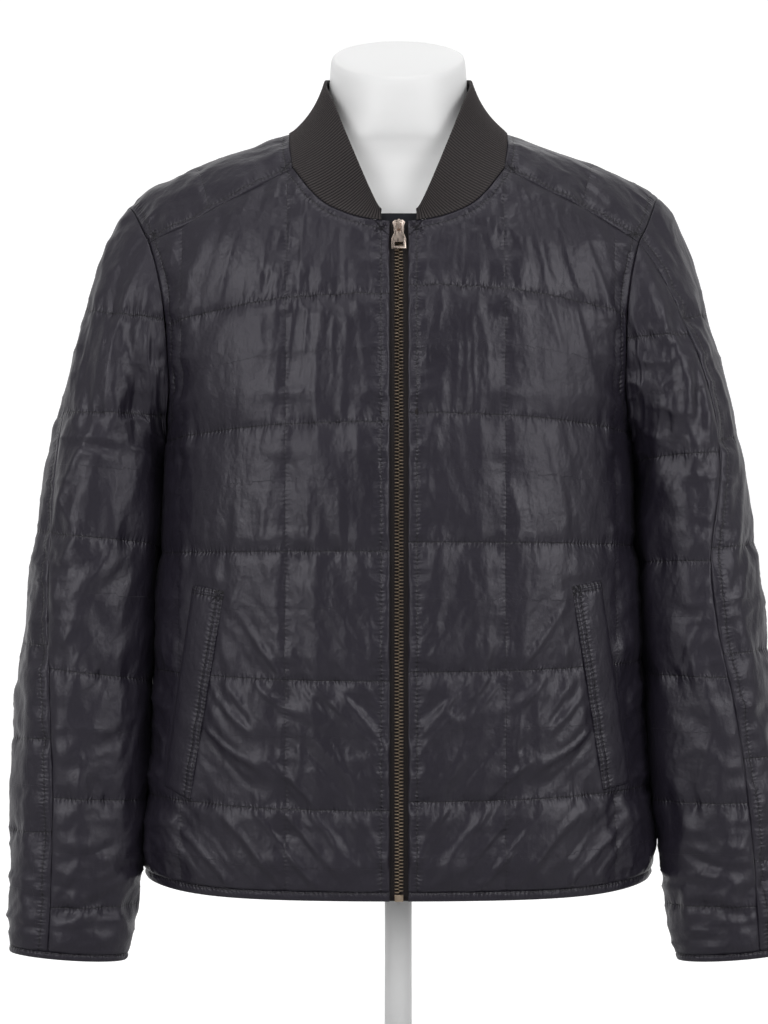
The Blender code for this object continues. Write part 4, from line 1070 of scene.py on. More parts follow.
class Finish:
    """A material with one Principled shader, whose nodes are added by node()."""

    def __init__(self, name, constants):
        self.material = bpy.data.materials.new(name)
        self.material.use_nodes = True
        self.tree = self.material.node_tree
        self.shader = self.tree.nodes["Principled BSDF"]
        for socket, value in constants.items():
            self.shader.inputs[socket].default_value = value

    def node(self, kind, settings=None, sockets=None, output=0):
        """A new node with its settings, then its sockets' values or links. Gives one output."""
        made = self.tree.nodes.new(kind)
        for key, value in (settings or {}).items():
            setattr(made, key, value)
        for key, value in (sockets or {}).items():
            self.feed(made.inputs[key], value)
        return Signal(self, made.outputs[output])

    def feed(self, socket, value):
        """Links a signal to a socket, or sets a number or a colour on it."""
        if isinstance(value, Signal):
            self.tree.links.new(value.socket, socket)
        elif socket.type == "RGBA" and len(value) == 3:
            socket.default_value = (*value, 1.0)
        else:
            socket.default_value = value

    def place(self):
        """Metres in the row frame."""
        return self.node("ShaderNodeTexCoord", output="Object")

    def cloth_place(self):
        """Metres across and up the cloth."""
        cloth = self.node("ShaderNodeUVMap", {"uv_map": "cloth"})
        return [self.node("ShaderNodeSeparateXYZ", sockets={0: cloth}, output=k) for k in (0, 1)]

    def number(self, name):
        """A number stored for each point of the piece."""
        return self.node("ShaderNodeAttribute", {"attribute_name": name}, output="Fac")

    def noise(self, scale, detail=2.0, roughness=0.5, vector=None):
        """Smooth random values, in waves of one over the scale."""
        at = vector or self.place()
        sockets = {"Vector": at, "Scale": scale, "Detail": detail, "Roughness": roughness}
        return self.node("ShaderNodeTexNoise", sockets=sockets)

    def stretched(self, factors):
        """The place, each axis multiplied by its factor."""
        return self.node("ShaderNodeMapping", sockets={"Vector": self.place(), "Scale": factors})

    def colour_mix(self, share, low, high):
        """From the low colour to the high one, by the share."""
        return self.node("ShaderNodeMix", {"data_type": "RGBA"}, {0: share, 6: low, 7: high}, output=2)

    def ramp(self, value, low, high, start=0.0, end=1.0):
        """A smoothstep from start to end, while the value goes from low to high."""
        sockets = {"Value": value, "From Min": low, "From Max": high, "To Min": start, "To Max": end}
        return self.node("ShaderNodeMapRange", {"interpolation_type": "SMOOTHSTEP"}, sockets)

    def wear(self, colour=None, roughness=None, height=None):
        """Feeds the shader: height is in metres."""
        if colour is not None:
            self.feed(self.shader.inputs["Base Color"], colour)
        if roughness is not None:
            self.feed(self.shader.inputs["Roughness"], roughness)
        if height is not None:
            sockets = {"Height": height, "Distance": 1.0, "Strength": 1.0}
            bump = self.node("ShaderNodeBump", sockets=sockets)
            self.feed(self.shader.inputs["Normal"], bump)
        return self.material


CLOTH_DARK, CLOTH_LIGHT = (0.0072, 0.0054, 0.0120), (0.0116, 0.0088, 0.0182)
THREAD = (0.0040, 0.0036, 0.0044)
# Tapes and metals: darker and lighter colour, and a metal's roughness.
DYES = {
    "zip_tape": ((0.0130, 0.0105, 0.0112), (0.0300, 0.0250, 0.0262)),
    "navy_lining": ((0.0050, 0.0055, 0.0085), (0.0120, 0.0125, 0.0180)),
    "antique_brass": ((0.24, 0.185, 0.135), (0.66, 0.52, 0.385), 0.36),
    "rose_nickel": ((0.62, 0.50, 0.43), (0.86, 0.73, 0.64), 0.30),
}
GLOW = (0.75, 0.75, 0.75)  # of the paper


def woven(finish, pitch):
    """Plain weave: the product of a wave across the cloth and a wave up it."""
    u, v = finish.cloth_place()
    return u.sine(pitch) * v.sine(pitch)


def nylon():
    """Charcoal satin nylon. Needle holes and short gathers follow the stitched lines."""
    finish = Finish("quilted_nylon", {
        "Specular IOR Level": 0.55, "Specular Tint": (0.96, 0.94, 1.0, 1.0), "Sheen Weight": 0.02,
        "Sheen Roughness": 0.4,
    })
    uneven = finish.noise(160.0, 2.0)
    cloud = finish.noise(9.0, 3.0)
    speck = finish.noise(900.0, 1.0)
    colour = finish.colour_mix(cloud, CLOTH_DARK, CLOTH_LIGHT)
    colour = finish.colour_mix(speck * 0.2, colour, (0.034, 0.032, 0.038))
    height = (finish.noise(46.0, 3.0, vector=finish.stretched((1.0, 1.0, 0.55))) - 0.5) * 0.0021
    height = height + (finish.noise(170.0, 2.0) - 0.5) * 0.00040 + woven(finish, 0.0008) * 0.000012
    for kind, depth in (("stitch", 1.0), ("level", 1.0), ("column", 0.45)):
        off, along = finish.number(kind + "_off"), finish.number(kind + "_along")
        line, beside = off.bell(0.0007) ** 1.5, off.bell(0.0040) ** 2
        dash = along.sine(0.0036) * 0.5 + 0.5
        colour = finish.colour_mix(line * (0.5 + 0.5 * dash) * depth, colour, THREAD)
        height = height + along.sine(0.0041, uneven * 9) * beside * 0.00020 * depth
        height = height + line * (-0.00040 + 0.00022 * dash) * depth
    rough = finish.ramp(cloud, 0.3, 0.7, 0.40, 0.48)
    return finish.wear(colour, rough, height)


def rib_knit():
    """Matt brownish black knit. Rows of small slanted stitches run up each rib, and the valleys between
    the ribs carry a painted shade.
    """
    finish = Finish("rib_knit", {
        "Specular IOR Level": 0.25, "Sheen Weight": 0.10, "Sheen Roughness": 0.6,
    })
    u, v = finish.cloth_place()
    slant = abs(u.sine(2 * COLLAR_RIB)) * 0.0006
    rows = (v + slant).sine(0.0021) * 0.4
    fuzz = finish.noise(700.0, 3.0)
    # height on the rib from the collar's stored wave, 0 down in each valley: the mask of the painted
    # shade
    valley_shade_mask = abs(finish.number("rib"))
    colour = finish.colour_mix(fuzz, (0.0300, 0.0245, 0.0250), (0.0560, 0.0470, 0.0475))
    # painted shade: the colour sinks to near black in the valleys between the ribs, where shade falls
    colour = finish.colour_mix(finish.ramp(valley_shade_mask, 0.35, 0.9), (0.0040, 0.0034, 0.0036), colour)
    return finish.wear(colour, finish.ramp(fuzz, 0.2, 0.8, 0.86, 0.98), rows * 0.00009 + fuzz * 0.00022)


def tape_cloth(name, dark, light):
    """Dark woven cloth with a fine herringbone."""
    finish = Finish(name, {"Specular IOR Level": 0.3})
    u, v = finish.cloth_place()
    twill = (v + abs(u.sine(0.0032)) * 0.0008).sine(0.0011)
    fuzz = finish.noise(900.0, 2.0)
    colour = finish.colour_mix(fuzz, dark, light)
    return finish.wear(colour, finish.ramp(fuzz, 0.2, 0.8, 0.75, 0.95), twill * 0.00005 + fuzz * 0.0001)


def metal(name, dark, light, roughness):
    """Plated metal: clouds of tarnish and fine scratches."""
    finish = Finish(name, {"Metallic": 1.0})
    cloud = finish.noise(260.0, 3.0)
    scratch = finish.noise(90.0, 4.0, 0.7, finish.stretched((9.0, 9.0, 1.0)))
    colour = finish.colour_mix(cloud, dark, light)
    rough = finish.ramp(scratch, 0.3, 0.7, roughness * 0.8, roughness * 1.3)
    return finish.wear(colour, rough, scratch * 0.00002)


def form_white():
    """Smooth white form: a very faint orange peel."""
    finish = Finish("form_white", {"Specular IOR Level": 0.45})
    cloud = finish.noise(14.0, 2.0)
    colour = finish.colour_mix(cloud, (0.88, 0.88, 0.88), (0.91, 0.91, 0.91))
    peel = finish.noise(500.0, 1.0) * 0.00002
    return finish.wear(colour, finish.ramp(cloud, 0.3, 0.7, 0.40, 0.48), peel)


def backdrop_white():
    """Pale paper. Behind the jacket it glows and lights it: none up to a little behind it, then more
    and more. Looked at directly it glows the same all over, so it stays plain and pale."""
    finish = Finish("backdrop_white", {"Roughness": 0.9, "Emission Strength": 1.0})
    cloud = finish.noise(0.8, 1.0)
    colour = finish.colour_mix(cloud, (0.50, 0.50, 0.50), (0.53, 0.53, 0.53))
    back = finish.node("ShaderNodeSeparateXYZ", sockets={0: finish.place()}, output=1)
    seen = finish.node("ShaderNodeLightPath", output="Is Camera Ray")
    glow = 1 - (1 - finish.ramp(back, -0.1, 0.9)) * (1 - seen)
    finish.feed(finish.shader.inputs["Emission Color"], finish.colour_mix(glow, (0.0, 0.0, 0.0), GLOW))
    return finish.wear(colour)


# ---- the jacket's cloth -----------------------------------------------------------------------

def apart_from_welt(points, side):
    """0 under a pocket welt, rising to 1 a little way outside it: a smoothstep in the distance
    from the welt's rectangle."""
    inner_top, outer_top, inner_foot, outer_foot = np.array(WELTS[side])
    top, foot = (inner_top + outer_top) / 2, (inner_foot + outer_foot) / 2
    length = np.linalg.norm(top - foot)
    along = (top - foot) / length
    across, rise = np.abs(points[..., 0]) - foot[0], points[..., 2] - HEM_Z - foot[1]
    t = across * along[0] + rise * along[1]
    s = across * along[1] - rise * along[0]
    beside = np.maximum(np.abs(s) - WELT_HALF, 0)
    beyond = np.maximum(np.abs(t - length / 2) - length / 2, 0)
    return step_up(np.hypot(beside, beyond), 0.0, WELT_CLEAR)


def side_seams(lines, edge, cells):
    """The side seam of a front or the back, and its armhole above it."""
    lines.seam(edge[:SIDE_CELLS * cells + 1])
    lines.seam(edge[SIDE_CELLS * cells:], topstitch=ARMHOLE_STITCH, amount=0.6, ruffle="armhole")


def make_front(side, cloth):
    """The body surface between the zip, the neckline, the shoulder, the armhole and the side seam,
    moved along its normals by its padding, streaks and folds."""
    a, b = FRONT_FINE
    params = front_params(side, a, b) * np.array([SIGN[side], 1.0])
    grid, lean = trimmed(body(params[..., 0], params[..., 1])), body_normal(params)
    lines = Lines(grid)
    u, v = cloth_metres(grid)
    up, out = slopes(lean)
    across, rise = grid[..., 0], grid[..., 2] - HEM_Z
    for level in FRONT_LEVELS[side]:
        lines.quilted((rise - level - droop(across, level)) * up, u, "level")
    for column in FRONT_COLUMNS[side]:
        lines.quilted((across - column) * out, v, "column")
    box = sum((rise > level + droop(across, level)).astype(float) for level in FRONT_LEVELS[side])
    lines.seam(grid[:, 0], 0.0035, PLACKET, ruffle="placket")
    lines.seam(grid[-1, :NECK_CELLS * a + 1], topstitch=NECK_STITCH, ruffle="neck")
    lines.seam(grid[-1, NECK_CELLS * a:], ruffle="shoulder")
    side_seams(lines, grid[:, -1], b)
    lines.seam(grid[0], 0.006, amount=0.4, ruffle="hem")
    loose = wrinkles(grid, 20) + fold_relief(grid, lean, FRONT_FOLDS, -1.0)
    seed = {"right": 200, "left": 220}[side]
    loose = loose + lines.boxes() * streaks(*fanned(across, rise), box, seed)
    outwards = across * SIGN[side]
    loose = loose + 0.0016 * crumple(grid, SIDE_CREASES, 31) * step_up(outwards, *SIDE_REACH)
    low = step_up(-rise, *LOW_FRONT)
    slant = streaks(outwards - SLANT * rise, rise + SLANT * across * SIGN[side], box, 300)
    loose = loose * (1 + 0.7 * low) + 2.6 * low * lines.boxes() * slant
    relief = (lines.relief() + loose * lines.free()) * apart_from_welt(grid, side)
    relief = relief + TOUCH_TRUNK * under_arm(lean, rise, SIGN[side])
    piece = cloth_piece("front_" + side, grid + relief[..., None] * lean, lean, lines, cloth)


def make_back(cloth, band):
    """The body surface behind, and over the ridge to the shoulder seams, moved as the fronts are.
    One upright line on each side runs on over the shoulder."""
    a, b = BACK_FINE
    params = back_params(a, b)
    grid, lean = trimmed_back(body(params[..., 0], params[..., 1]), a, b), body_normal(params)
    ridge = (SIDE_CELLS + ARM_CELLS) * b
    lines = Lines(grid)
    u, v = cloth_metres(grid)
    up, out = slopes(lean)
    across, rise = grid[..., 0], grid[..., 2] - HEM_Z
    below = np.zeros(across.shape, bool)
    below[:ridge + 1] = True
    for level in BACK_LEVELS:
        lines.quilted(np.where(below, (rise - level - droop(across, level)) * up, FAR), u, "level")
    shoulder = SHOULDER_CELLS * a
    share = np.full(across.shape[1], 9.0)
    share[:shoulder + 1] = np.linspace(1, 0, shoulder + 1)
    share[-shoulder - 1:] = np.linspace(0, 1, shoulder + 1)
    over = (share - SHOULDER_LINE)[None] * SHOULDER_WIDTH
    for column in BACK_COLUMNS:
        spread = math.copysign(0.026, column) * step_up(rise, 0.50, 0.66) * (abs(column) > 0.1)
        own = (np.sign(across) == math.copysign(1, column)) & (abs(column) > 0.1)
        signed = np.where(below, (across - column - spread) * out, np.where(own, over, FAR))
        lines.quilted(signed, v, "column")
    box = sum((rise > level + droop(across, level)).astype(float) for level in BACK_LEVELS) * below
    down, up_again = grid[:ridge - 1:-1, shoulder], grid[ridge:, -shoulder - 1]
    neckline = np.concatenate([down, grid[ridge, shoulder + 1:-shoulder - 1], up_again])
    lines.seam(neckline, topstitch=NECK_STITCH)
    lines.seam(grid[-1, :shoulder + 1], topstitch=SHOULDER_STITCH)
    lines.seam(grid[-1, -shoulder - 1:], topstitch=SHOULDER_STITCH)
    for column in (0, -1):
        side_seams(lines, grid[:, column], b)
    lines.seam(grid[0], 0.006, amount=0.4, ruffle="hem")
    loose = wrinkles(grid, 50) + fold_relief(grid, lean, BACK_FOLDS, 1.0)
    loose = loose + lines.boxes() * streaks(*fanned(across, rise), box, 240) * below
    x, y = grid[..., 0], grid[..., 1]
    loose = loose + 0.8 * streaks(y + 0.4 * x, x, 0 * rise, 260) * ~below
    beside = step_up(np.abs(across), *SIDE_REACH)
    loose = loose + 0.0012 * crumple(grid, SIDE_CREASES, 61) * beside * below
    relief = lines.relief() + loose * lines.free()
    relief = relief + TOUCH_TRUNK * (under_arm(lean, rise, 1.0) + under_arm(lean, rise, -1.0)) * below
    piece = cloth_piece("back", grid + relief[..., None] * lean, lean, lines, cloth)


def make_sleeve(side, cloth, band):
    """The sleeve's surface, cut at its two seams, moved as the fronts are. The streaks lean by an
    angle of their own in each box."""
    k, m = SLEEVE_FINE
    whole = sleeve_grid(side, k, m)
    normals = mirror(ring_normals(whole), side)
    whole = mirror(whole, side)
    start, split, count = FRONT_SPLIT[side] * k, BACK_SPLIT * k, RING_CELLS * k
    lap = np.concatenate([np.arange(split, count), np.arange(0, start + 1)])[::-1]
    seed = {"right": 80, "left": 110}[side]
    for piece, columns in (("inner", np.arange(start, split + 1)), ("outer", lap)):
        grid, lean = trimmed(whole[:, columns]), normals[:, columns]
        lines = Lines(grid)
        u, v = cloth_metres(grid)
        share = u / u[:, -1:]
        up, _ = slopes(lean)
        rise = grid[..., 2] - HEM_Z
        for near, far in SLEEVE_LEVELS[side, piece]:
            lines.quilted((rise - near - (far - near) * share) * up, u, "level")
        for column in SLEEVE_COLUMNS[piece]:
            lines.quilted((share - column) * u[:, -1:], v, "column")
        levels = [near + (far - near) * share for near, far in SLEEVE_LEVELS[side, piece]]
        box = sum((rise > level).astype(float) for level in levels)
        turn = np.radians(np.array(SLEEVE_STREAKS[piece]))[box.astype(int)] * SIGN[side]
        over, down = u * np.cos(turn) + rise * np.sin(turn), rise * np.cos(turn) - u * np.sin(turn)
        stitched = SLEEVE_STITCH if piece == "outer" else None
        lines.seam(grid[0], amount=0.5, ruffle="sleeve cap")
        lines.seam(grid[:, 0], 0.006, stitched, ruffle="front of sleeve")
        lines.seam(grid[:, -1], ruffle="back of sleeve")
        lines.seam(grid[-1], 0.005, amount=0.4, ruffle="cuff")
        loose = wrinkles(grid, seed, 0.3) + 1.35 * lines.boxes() * streaks(over, down, box, seed + 180)
        for face in (-1.0, 1.0):
            loose = loose + fold_relief(grid, lean, SLEEVE_FOLDS[side], face)
        low = step_up(-rise, *LOW_SLEEVE)
        loose = loose + 0.0030 * crumple(grid, CUFF_CREASES, seed + 7) * low
        pit = np.exp(-((rise - 0.45) / 0.055) ** 2) * step_up(-np.abs(grid[..., 0]), -0.270, -0.235)
        loose = loose + 0.0042 * crumple(grid, PIT_CREASES, seed + 9) * pit
        touch = TOUCH_SLEEVE * under_arm(lean, rise, -SIGN[side])
        relief = lines.relief() + loose * lines.free() + touch
        name = "sleeve_" + piece + "_" + side
        made = cloth_piece(name, grid + relief[..., None] * lean, lean, lines, cloth)
        [band] if piece == "outer" else []


def make_band(name, grid, lean, cloth, closed=False):
    """A bound edge: the strip's thickness swells in the middle of its height by half a sine, and
    small gathers cross it. The stitched line runs near its upper side."""
    rows = np.linspace(0, 1, len(grid))[:, None]
    lines = Lines(grid)
    u, v = cloth_metres(grid)
    if closed:
        u = u * round(u[0, -1] / BAND_STITCH) * BAND_STITCH / u[:, -1:]
    lines.off["stitch"] = (rows - 0.86) * BAND + 0 * u
    lines.along["stitch"] = u
    gathers = noise(np.stack([u / 0.006, rows + 0 * u, 0 * u], -1), 1.0, 5)
    if closed:
        blend = step_up(u, 0.0, 0.02) * step_up(u[:, -1:] - u, 0.0, 0.02)
        gathers = gathers * blend
    half = (BAND_CLOTH - CLOTH) / 2
    swell = half + 0.0010 * np.sin(math.pi * rows) - 0.0008 + 0.0009 * gathers * np.sin(math.pi * rows)
    face = grid + swell[..., None] * lean
    return cloth_piece(name, face, lean, lines, cloth, closed, BAND_CLOTH)


def make_hem_band(cloth):
    """Rows of the body surface from the hem edge up, each from one front edge round the back to
    the other."""
    cells = (NECK_CELLS + SHOULDER_CELLS) * 12
    rows, leans = [], []
    for rise in np.linspace(0.0, BAND, 7):
        start = place(ZIP_HALF_GAP, rise)[0]
        front = hem_line(start, math.pi / 2, 1.0, rise, cells)
        back = hem_line(math.pi / 2, -math.pi / 2, -1.0, rise, 2 * cells)
        left, lean = body(*front.T), body_normal(front)
        rows.append(join(left, body(*back.T), mirror(left[::-1], "right")))
        leans.append(join(lean, body_normal(back), mirror(lean[::-1], "right")))
    return make_band("hem_band", trimmed(np.array(rows)), np.array(leans), cloth)


def make_cuff_band(side, cloth):
    """Rings of the sleeve's surface at the cuff."""
    edge = CUFF_RISE + CUFF_BAND
    angles = seam_angles(side, np.float64(edge), 10)
    rises = np.linspace(CUFF_RISE, edge, 6)
    rings = np.array([sleeve_point(side, angles, rise) for rise in rises])
    lean = mirror(ring_normals(rings[::-1])[::-1], side)
    return make_band("cuff_band_" + side, mirror(trimmed(rings, True), side), lean, cloth, closed=True)


def make_collar(knit):
    """Two curves, the neckline and the collar's own upper edge, are ruled together and hollowed by
    half a sine. Ribs run up it: each is a rounded wave across, on both of its faces."""
    front = neckline_front(NECK_CELLS * 40)
    across = body(*front.T)[:, 0]
    front = front[across >= COLLAR_END]
    line = join(front, neckline_top(TOP_CELLS * 20)[::-1], neckline_back(NECK_CELLS * 40))
    low = body(*line.T)
    length = arc(low)
    ribs = int(round(length[-1] / COLLAR_RIB))
    at = np.linspace(0, length[-1], ribs * RIB_FINE + 1)
    low = np.stack([np.interp(at, length, low[:, k]) for k in range(3)], axis=-1)
    share = at / at[-1]
    high = np.stack([smooth(share, COLLAR_TOP[:, 0], COLLAR_TOP[:, k]) for k in (1, 2, 3)], axis=-1)
    high[:, 2] += HEM_Z
    low, high = [join(edge, mirror(edge[::-1], "right")) for edge in (low, high)]
    v = np.concatenate([np.linspace(0, 0.93, 24), [0.955, 0.975, 0.99, 1.0]])[:, None, None]
    flat = (1 - v) * low + v * high
    lean = unit(np.cross(np.gradient(flat, axis=1), np.gradient(flat, axis=0)))
    rows = v[..., 0]
    height = np.linalg.norm(high - low, axis=1)[None]
    hollow = COLLAR_HOLLOW * np.clip(height / COLLAR_FULL_HEIGHT, 0, 1)[..., None]
    grid = trimmed(flat - hollow * np.sin(math.pi * v) * lean)
    phase = np.concatenate([at, 2 * at[-1] - at[-2::-1]]) / COLLAR_RIB
    wave = np.abs(np.sin(math.pi * phase))[None] ** 0.7
    from_top = (1 - rows) * height
    rolled = 1 - np.sqrt(np.clip(1 - np.clip(1 - from_top / 0.0014, 0, 1) ** 2, 0, 1))
    uneven = 0.0008 * noise(grid, COLLAR_WAVES, 140)
    fade = step_up(from_top, 0.0, 0.01) * step_up(rows * height, 0.0, 0.006)
    outward = 0.0011 * (wave - 0.5) + uneven * fade - RIB / 2 * rolled
    inward = -0.0007 * (wave - 0.5) + uneven * fade + RIB / 2 * rolled
    face = grid + outward[..., None] * lean
    back = grid + (inward - RIB)[..., None] * lean
    # the rib wave is stored on each point, and the knit finish paints shade into the valleys between the
    # ribs from it
    piece = stands_for(shell("collar_knit", face, back, knit, {"rib": wave + 0 * outward}), "collar")


def make_welt(side, cloth):
    """A padded strip over the pocket, rounded towards its edges by an exponential."""
    inner_top, outer_top, inner_foot, outer_foot = np.array(WELTS[side])
    u = np.linspace(0, 1, 25)[None, :, None]
    v = np.linspace(0, 1, 111)[:, None, None]
    foot, top = (1 - u) * inner_foot + u * outer_foot, (1 - u) * inner_top + u * outer_top
    outline = (1 - v) * foot + v * top
    params = place(SIGN[side] * outline[..., 0], outline[..., 1])
    lean, ground = body_normal(params), body(params[..., 0], params[..., 1])
    lines = Lines(ground)
    lines.seam(ground[:, 0], 0.0016, 0.0016)
    lines.seam(ground[:, -1], 0.0020)
    lines.seam(ground[-1], 0.0016, 0.0016)
    lines.seam(ground[0], 0.0016)
    for edge in (ground[:, 0], ground[-1]):
        distance, along = along_edge(ground, edge)
        lines.stitch(distance - WELT_STITCH, along)
        lines.pull(distance - WELT_STITCH, 0.4, 0.0020)
    puff = (0.0020 * lines.fill + 0.25 * lines.gather + 0.2 * wrinkles(ground, 150))[..., None]
    face = ground + (WELT_LIFT + 0.0008) * lean + puff * lean
    node = "pocket_welt_" + side
    piece = shell(node + "_cloth", face, ground - 0.0010 * lean, cloth, lines.fields())
    stands_for(piece, node)


# ---- the zip ----------------------------------------------------------------------------------

TOOTH_PITCH = 0.0030
TOOTH = np.array([  # outline of a tooth across and up, from its foot on the tape to its head
    (-0.00390, -0.00048), (-0.00250, -0.00052), (-0.00060, -0.00066), (0.00035, -0.00040),
    (0.00035, 0.00040), (-0.00060, 0.00066), (-0.00250, 0.00052), (-0.00390, 0.00048),
])


def zip_place(rise):
    """Point on the zip's line at this rise, its outward direction and its direction up."""
    params = place(np.zeros_like(rise), rise)
    point, lean = body(*params.T), body_normal(params)
    lean[:, 0] = 0
    lean = unit(lean)
    up = np.stack([np.zeros_like(rise), lean[:, 2], -lean[:, 1]], axis=-1)
    return point, lean, unit(up)


def strip(name, node, inner, outer, face, back, low, high, finish, cells):
    """A flat strip along the zip: its line, moved across and out by even amounts."""
    line, lean, _ = zip_place(np.linspace(low, high, 160))
    across = np.linspace(inner, outer, cells)
    grid = line[:, None] + across[None, :, None] * np.array([1.0, 0.0, 0.0])
    front, rear = grid + face * lean[:, None], grid + back * lean[:, None]
    piece = stands_for(shell(name, front, rear, finish, Lines(grid).fields()), node)


def make_teeth(brass):
    """Two rows of teeth, half a pitch apart. Each is its outline at three depths, the outermost
    drawn in, so that its edges look rounded."""
    count = int((PULL_RISE - 0.006 - BOX_HEIGHT) / TOOTH_PITCH)
    levels = ((-0.0040, 1.0), (-0.0016, 1.0), (-0.0009, 0.72))
    points = []
    count_round = len(TOOTH)
    corner = np.arange(count_round)
    ahead = (corner + 1) % count_round
    quads = [
        np.stack([corner, ahead, ahead + count_round, corner + count_round], -1) + count_round * k
        for k in (0, 1)
    ]
    tooth = np.concatenate(quads + [np.array([
        (23, 22, 17, 16), (22, 21, 18, 17), (21, 20, 19, 18), (0, 1, 6, 7), (1, 2, 5, 6), (2, 3, 4, 5),
    ])])
    for sign, shift in ((-1, 0.0), (1, 0.5)):
        rise = BOX_HEIGHT + 0.0022 + (np.arange(count) + shift) * TOOTH_PITCH
        point, lean, up = zip_place(rise)
        for depth, scale in levels:
            middle = TOOTH.mean(axis=0)
            outline = middle + (TOOTH - middle) * (1 - (1 - scale) * 0.5, scale)
            ring_points = (
                point[:, None]
                + outline[None, :, :1] * np.array([-sign, 0.0, 0.0])
                + outline[None, :, 1:] * up[:, None]
                + depth * lean[:, None]
            )
            points.append(ring_points)
    rows = [np.concatenate(points[k:k + 3], axis=1) for k in (0, 3)]
    stacked = np.concatenate(rows).reshape(-1, 3)
    starts = np.arange(2 * count)[:, None, None] * 3 * count_round
    chain = add_mesh("zip_teeth", stacked, (starts + tooth[None]).reshape(-1, 4).tolist(), brass)
    work = bmesh.new()
    work.from_mesh(chain.data)
    bmesh.ops.recalc_face_normals(work, faces=work.faces)
    work.to_mesh(chain.data)
    work.free()
    chain.data.shade_flat()
    stands_for(chain, "zip_chain")


def rounded(node, finish, body_name, bevel):
    """The CAD node's own shape with its edges rounded: its loose triangles are merged first."""
    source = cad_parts[node]
    work = bmesh.new()
    work.from_mesh(source.data)
    bmesh.ops.remove_doubles(work, verts=work.verts, dist=1e-6)
    bmesh.ops.dissolve_limit(work, angle_limit=0.02, verts=work.verts, edges=work.edges)
    bmesh.ops.recalc_face_normals(work, faces=work.faces)
    mesh = bpy.data.meshes.new(node + "_finished")
    work.to_mesh(mesh)
    work.free()
    mesh.materials.clear()
    mesh.materials.append(finish)
    mesh.shade_smooth()
    made = bpy.data.objects.new(node + "_finished", mesh)
    bpy.context.scene.collection.objects.link(made)
    soft = made.modifiers.new("edges", "BEVEL")
    soft.width, soft.segments, soft.limit_method, soft.harden_normals = bevel, 3, "ANGLE", True
    soft.angle_limit = 0.5
    return stands_for(made, node, body_name)


# ---- the dress form ---------------------------------------------------------------------------

def lathe(name, node, rings, finish):
    """Rings of equal count joined into a skin, with a fan over each end."""
    count = rings.shape[1]
    index = np.arange(rings.shape[0] * count).reshape(-1, count)
    ahead = np.roll(index, -1, axis=1)
    sides = np.stack([index[:-1], ahead[:-1], ahead[1:], index[1:]], axis=-1).reshape(-1, 4)
    faces = sides.tolist() + [index[0][::-1].tolist(), index[-1].tolist()]
    return stands_for(turned_out(add_mesh(name, rings.reshape(-1, 3), faces, finish)), node)


def make_form(white):
    """Ovals from the form's rows, joined by cubics. The neck's lean forwards."""
    angle = np.linspace(0, 2 * math.pi, 96, endpoint=False)
    knots = np.arange(len(FORM_RINGS), dtype=float)
    at = np.linspace(0, knots[-1], 7 * len(knots))
    rise, half, front, back = [smooth(at, knots, FORM_RINGS[:, k])[:, None] for k in range(4)]
    lateral, ahead = np.cos(angle)[None], np.sin(angle)[None]
    trunk = np.clip((NECK_FOOT_RISE - rise) / 0.05, 0, 1)
    y = np.where(ahead < 0, front, back) * ahead * (1 + FULL * trunk * lateral ** 2)
    tilt = NECK_TILT * np.clip((rise - NECK_FOOT_RISE) / (FORM_RINGS[-1, 0] - NECK_FOOT_RISE), 0, 1)
    points = np.broadcast_arrays(half * lateral, CENTRE_Y + y, HEM_Z + rise + y * np.tan(tilt))
    lathe("form_cover", "form_torso", np.stack(points, axis=-1), white)


def make_stand(white):
    """The pole and the base, each a profile turned round the middle. The base's upper edge is a
    quarter circle."""
    angle = np.linspace(0, 2 * math.pi, 128, endpoint=False)
    circle = np.stack([np.cos(angle), np.sin(angle), np.zeros_like(angle)], axis=-1)
    pole = [(POLE_RADIUS, BASE_HEIGHT + TOUCH), (POLE_RADIUS, HEM_Z + FORM_RINGS[0, 0] - TOUCH)]
    base = [(BASE_RADIUS - 0.001, 0.0), (BASE_RADIUS, 0.001), (BASE_RADIUS, BASE_HEIGHT - BASE_EDGE)]
    for bend in np.radians(np.arange(10, 91, 10)):
        inwards, under = 1 - math.cos(bend), 1 - math.sin(bend)
        base.append((BASE_RADIUS - BASE_EDGE * inwards, BASE_HEIGHT - BASE_EDGE * under))
    for name, node, rows in (("stand_pole", "form_pole", pole), ("stand_base", "form_base", base)):
        rings = np.array([circle * (radius, radius, 1) + (0, 0, z) for radius, z in rows])
        lathe(name, node, rings, white)


# ---- the studio -------------------------------------------------------------------------------

FRONT_SKY, REAR_SKY = 0.07, 0.50  # brightness of the room in front, and to the sides and behind
# Lamps: name, place, size, power.
LAMPS = (
    ("key", (-1.6, -2.1, 1.40), (1.1, 1.9), 30.0),
    ("fill", (1.9, -1.9, 1.35), (0.9, 1.7), 28.0),
    ("top", (0.1, -0.9, 3.0), (1.4, 1.4), 16.0),
    ("rear", (0.0, 2.2, 2.6), (1.6, 1.6), 5.0),
)
AIM = (0, 0, 0.5)  # where the lamps point
PAPER_WIDE, PAPER_NEAR, PAPER_FAR, PAPER_BEND = 6, -5, 2.4, 1.2  # the floor, and how it curves up
CAMERA_PLACE = (-0.01313, -2.425, 0.4854)
CAMERA_LENS, CAMERA_SHIFT, FRAME_HEIGHT = 92.34, 0.0469, 36.0


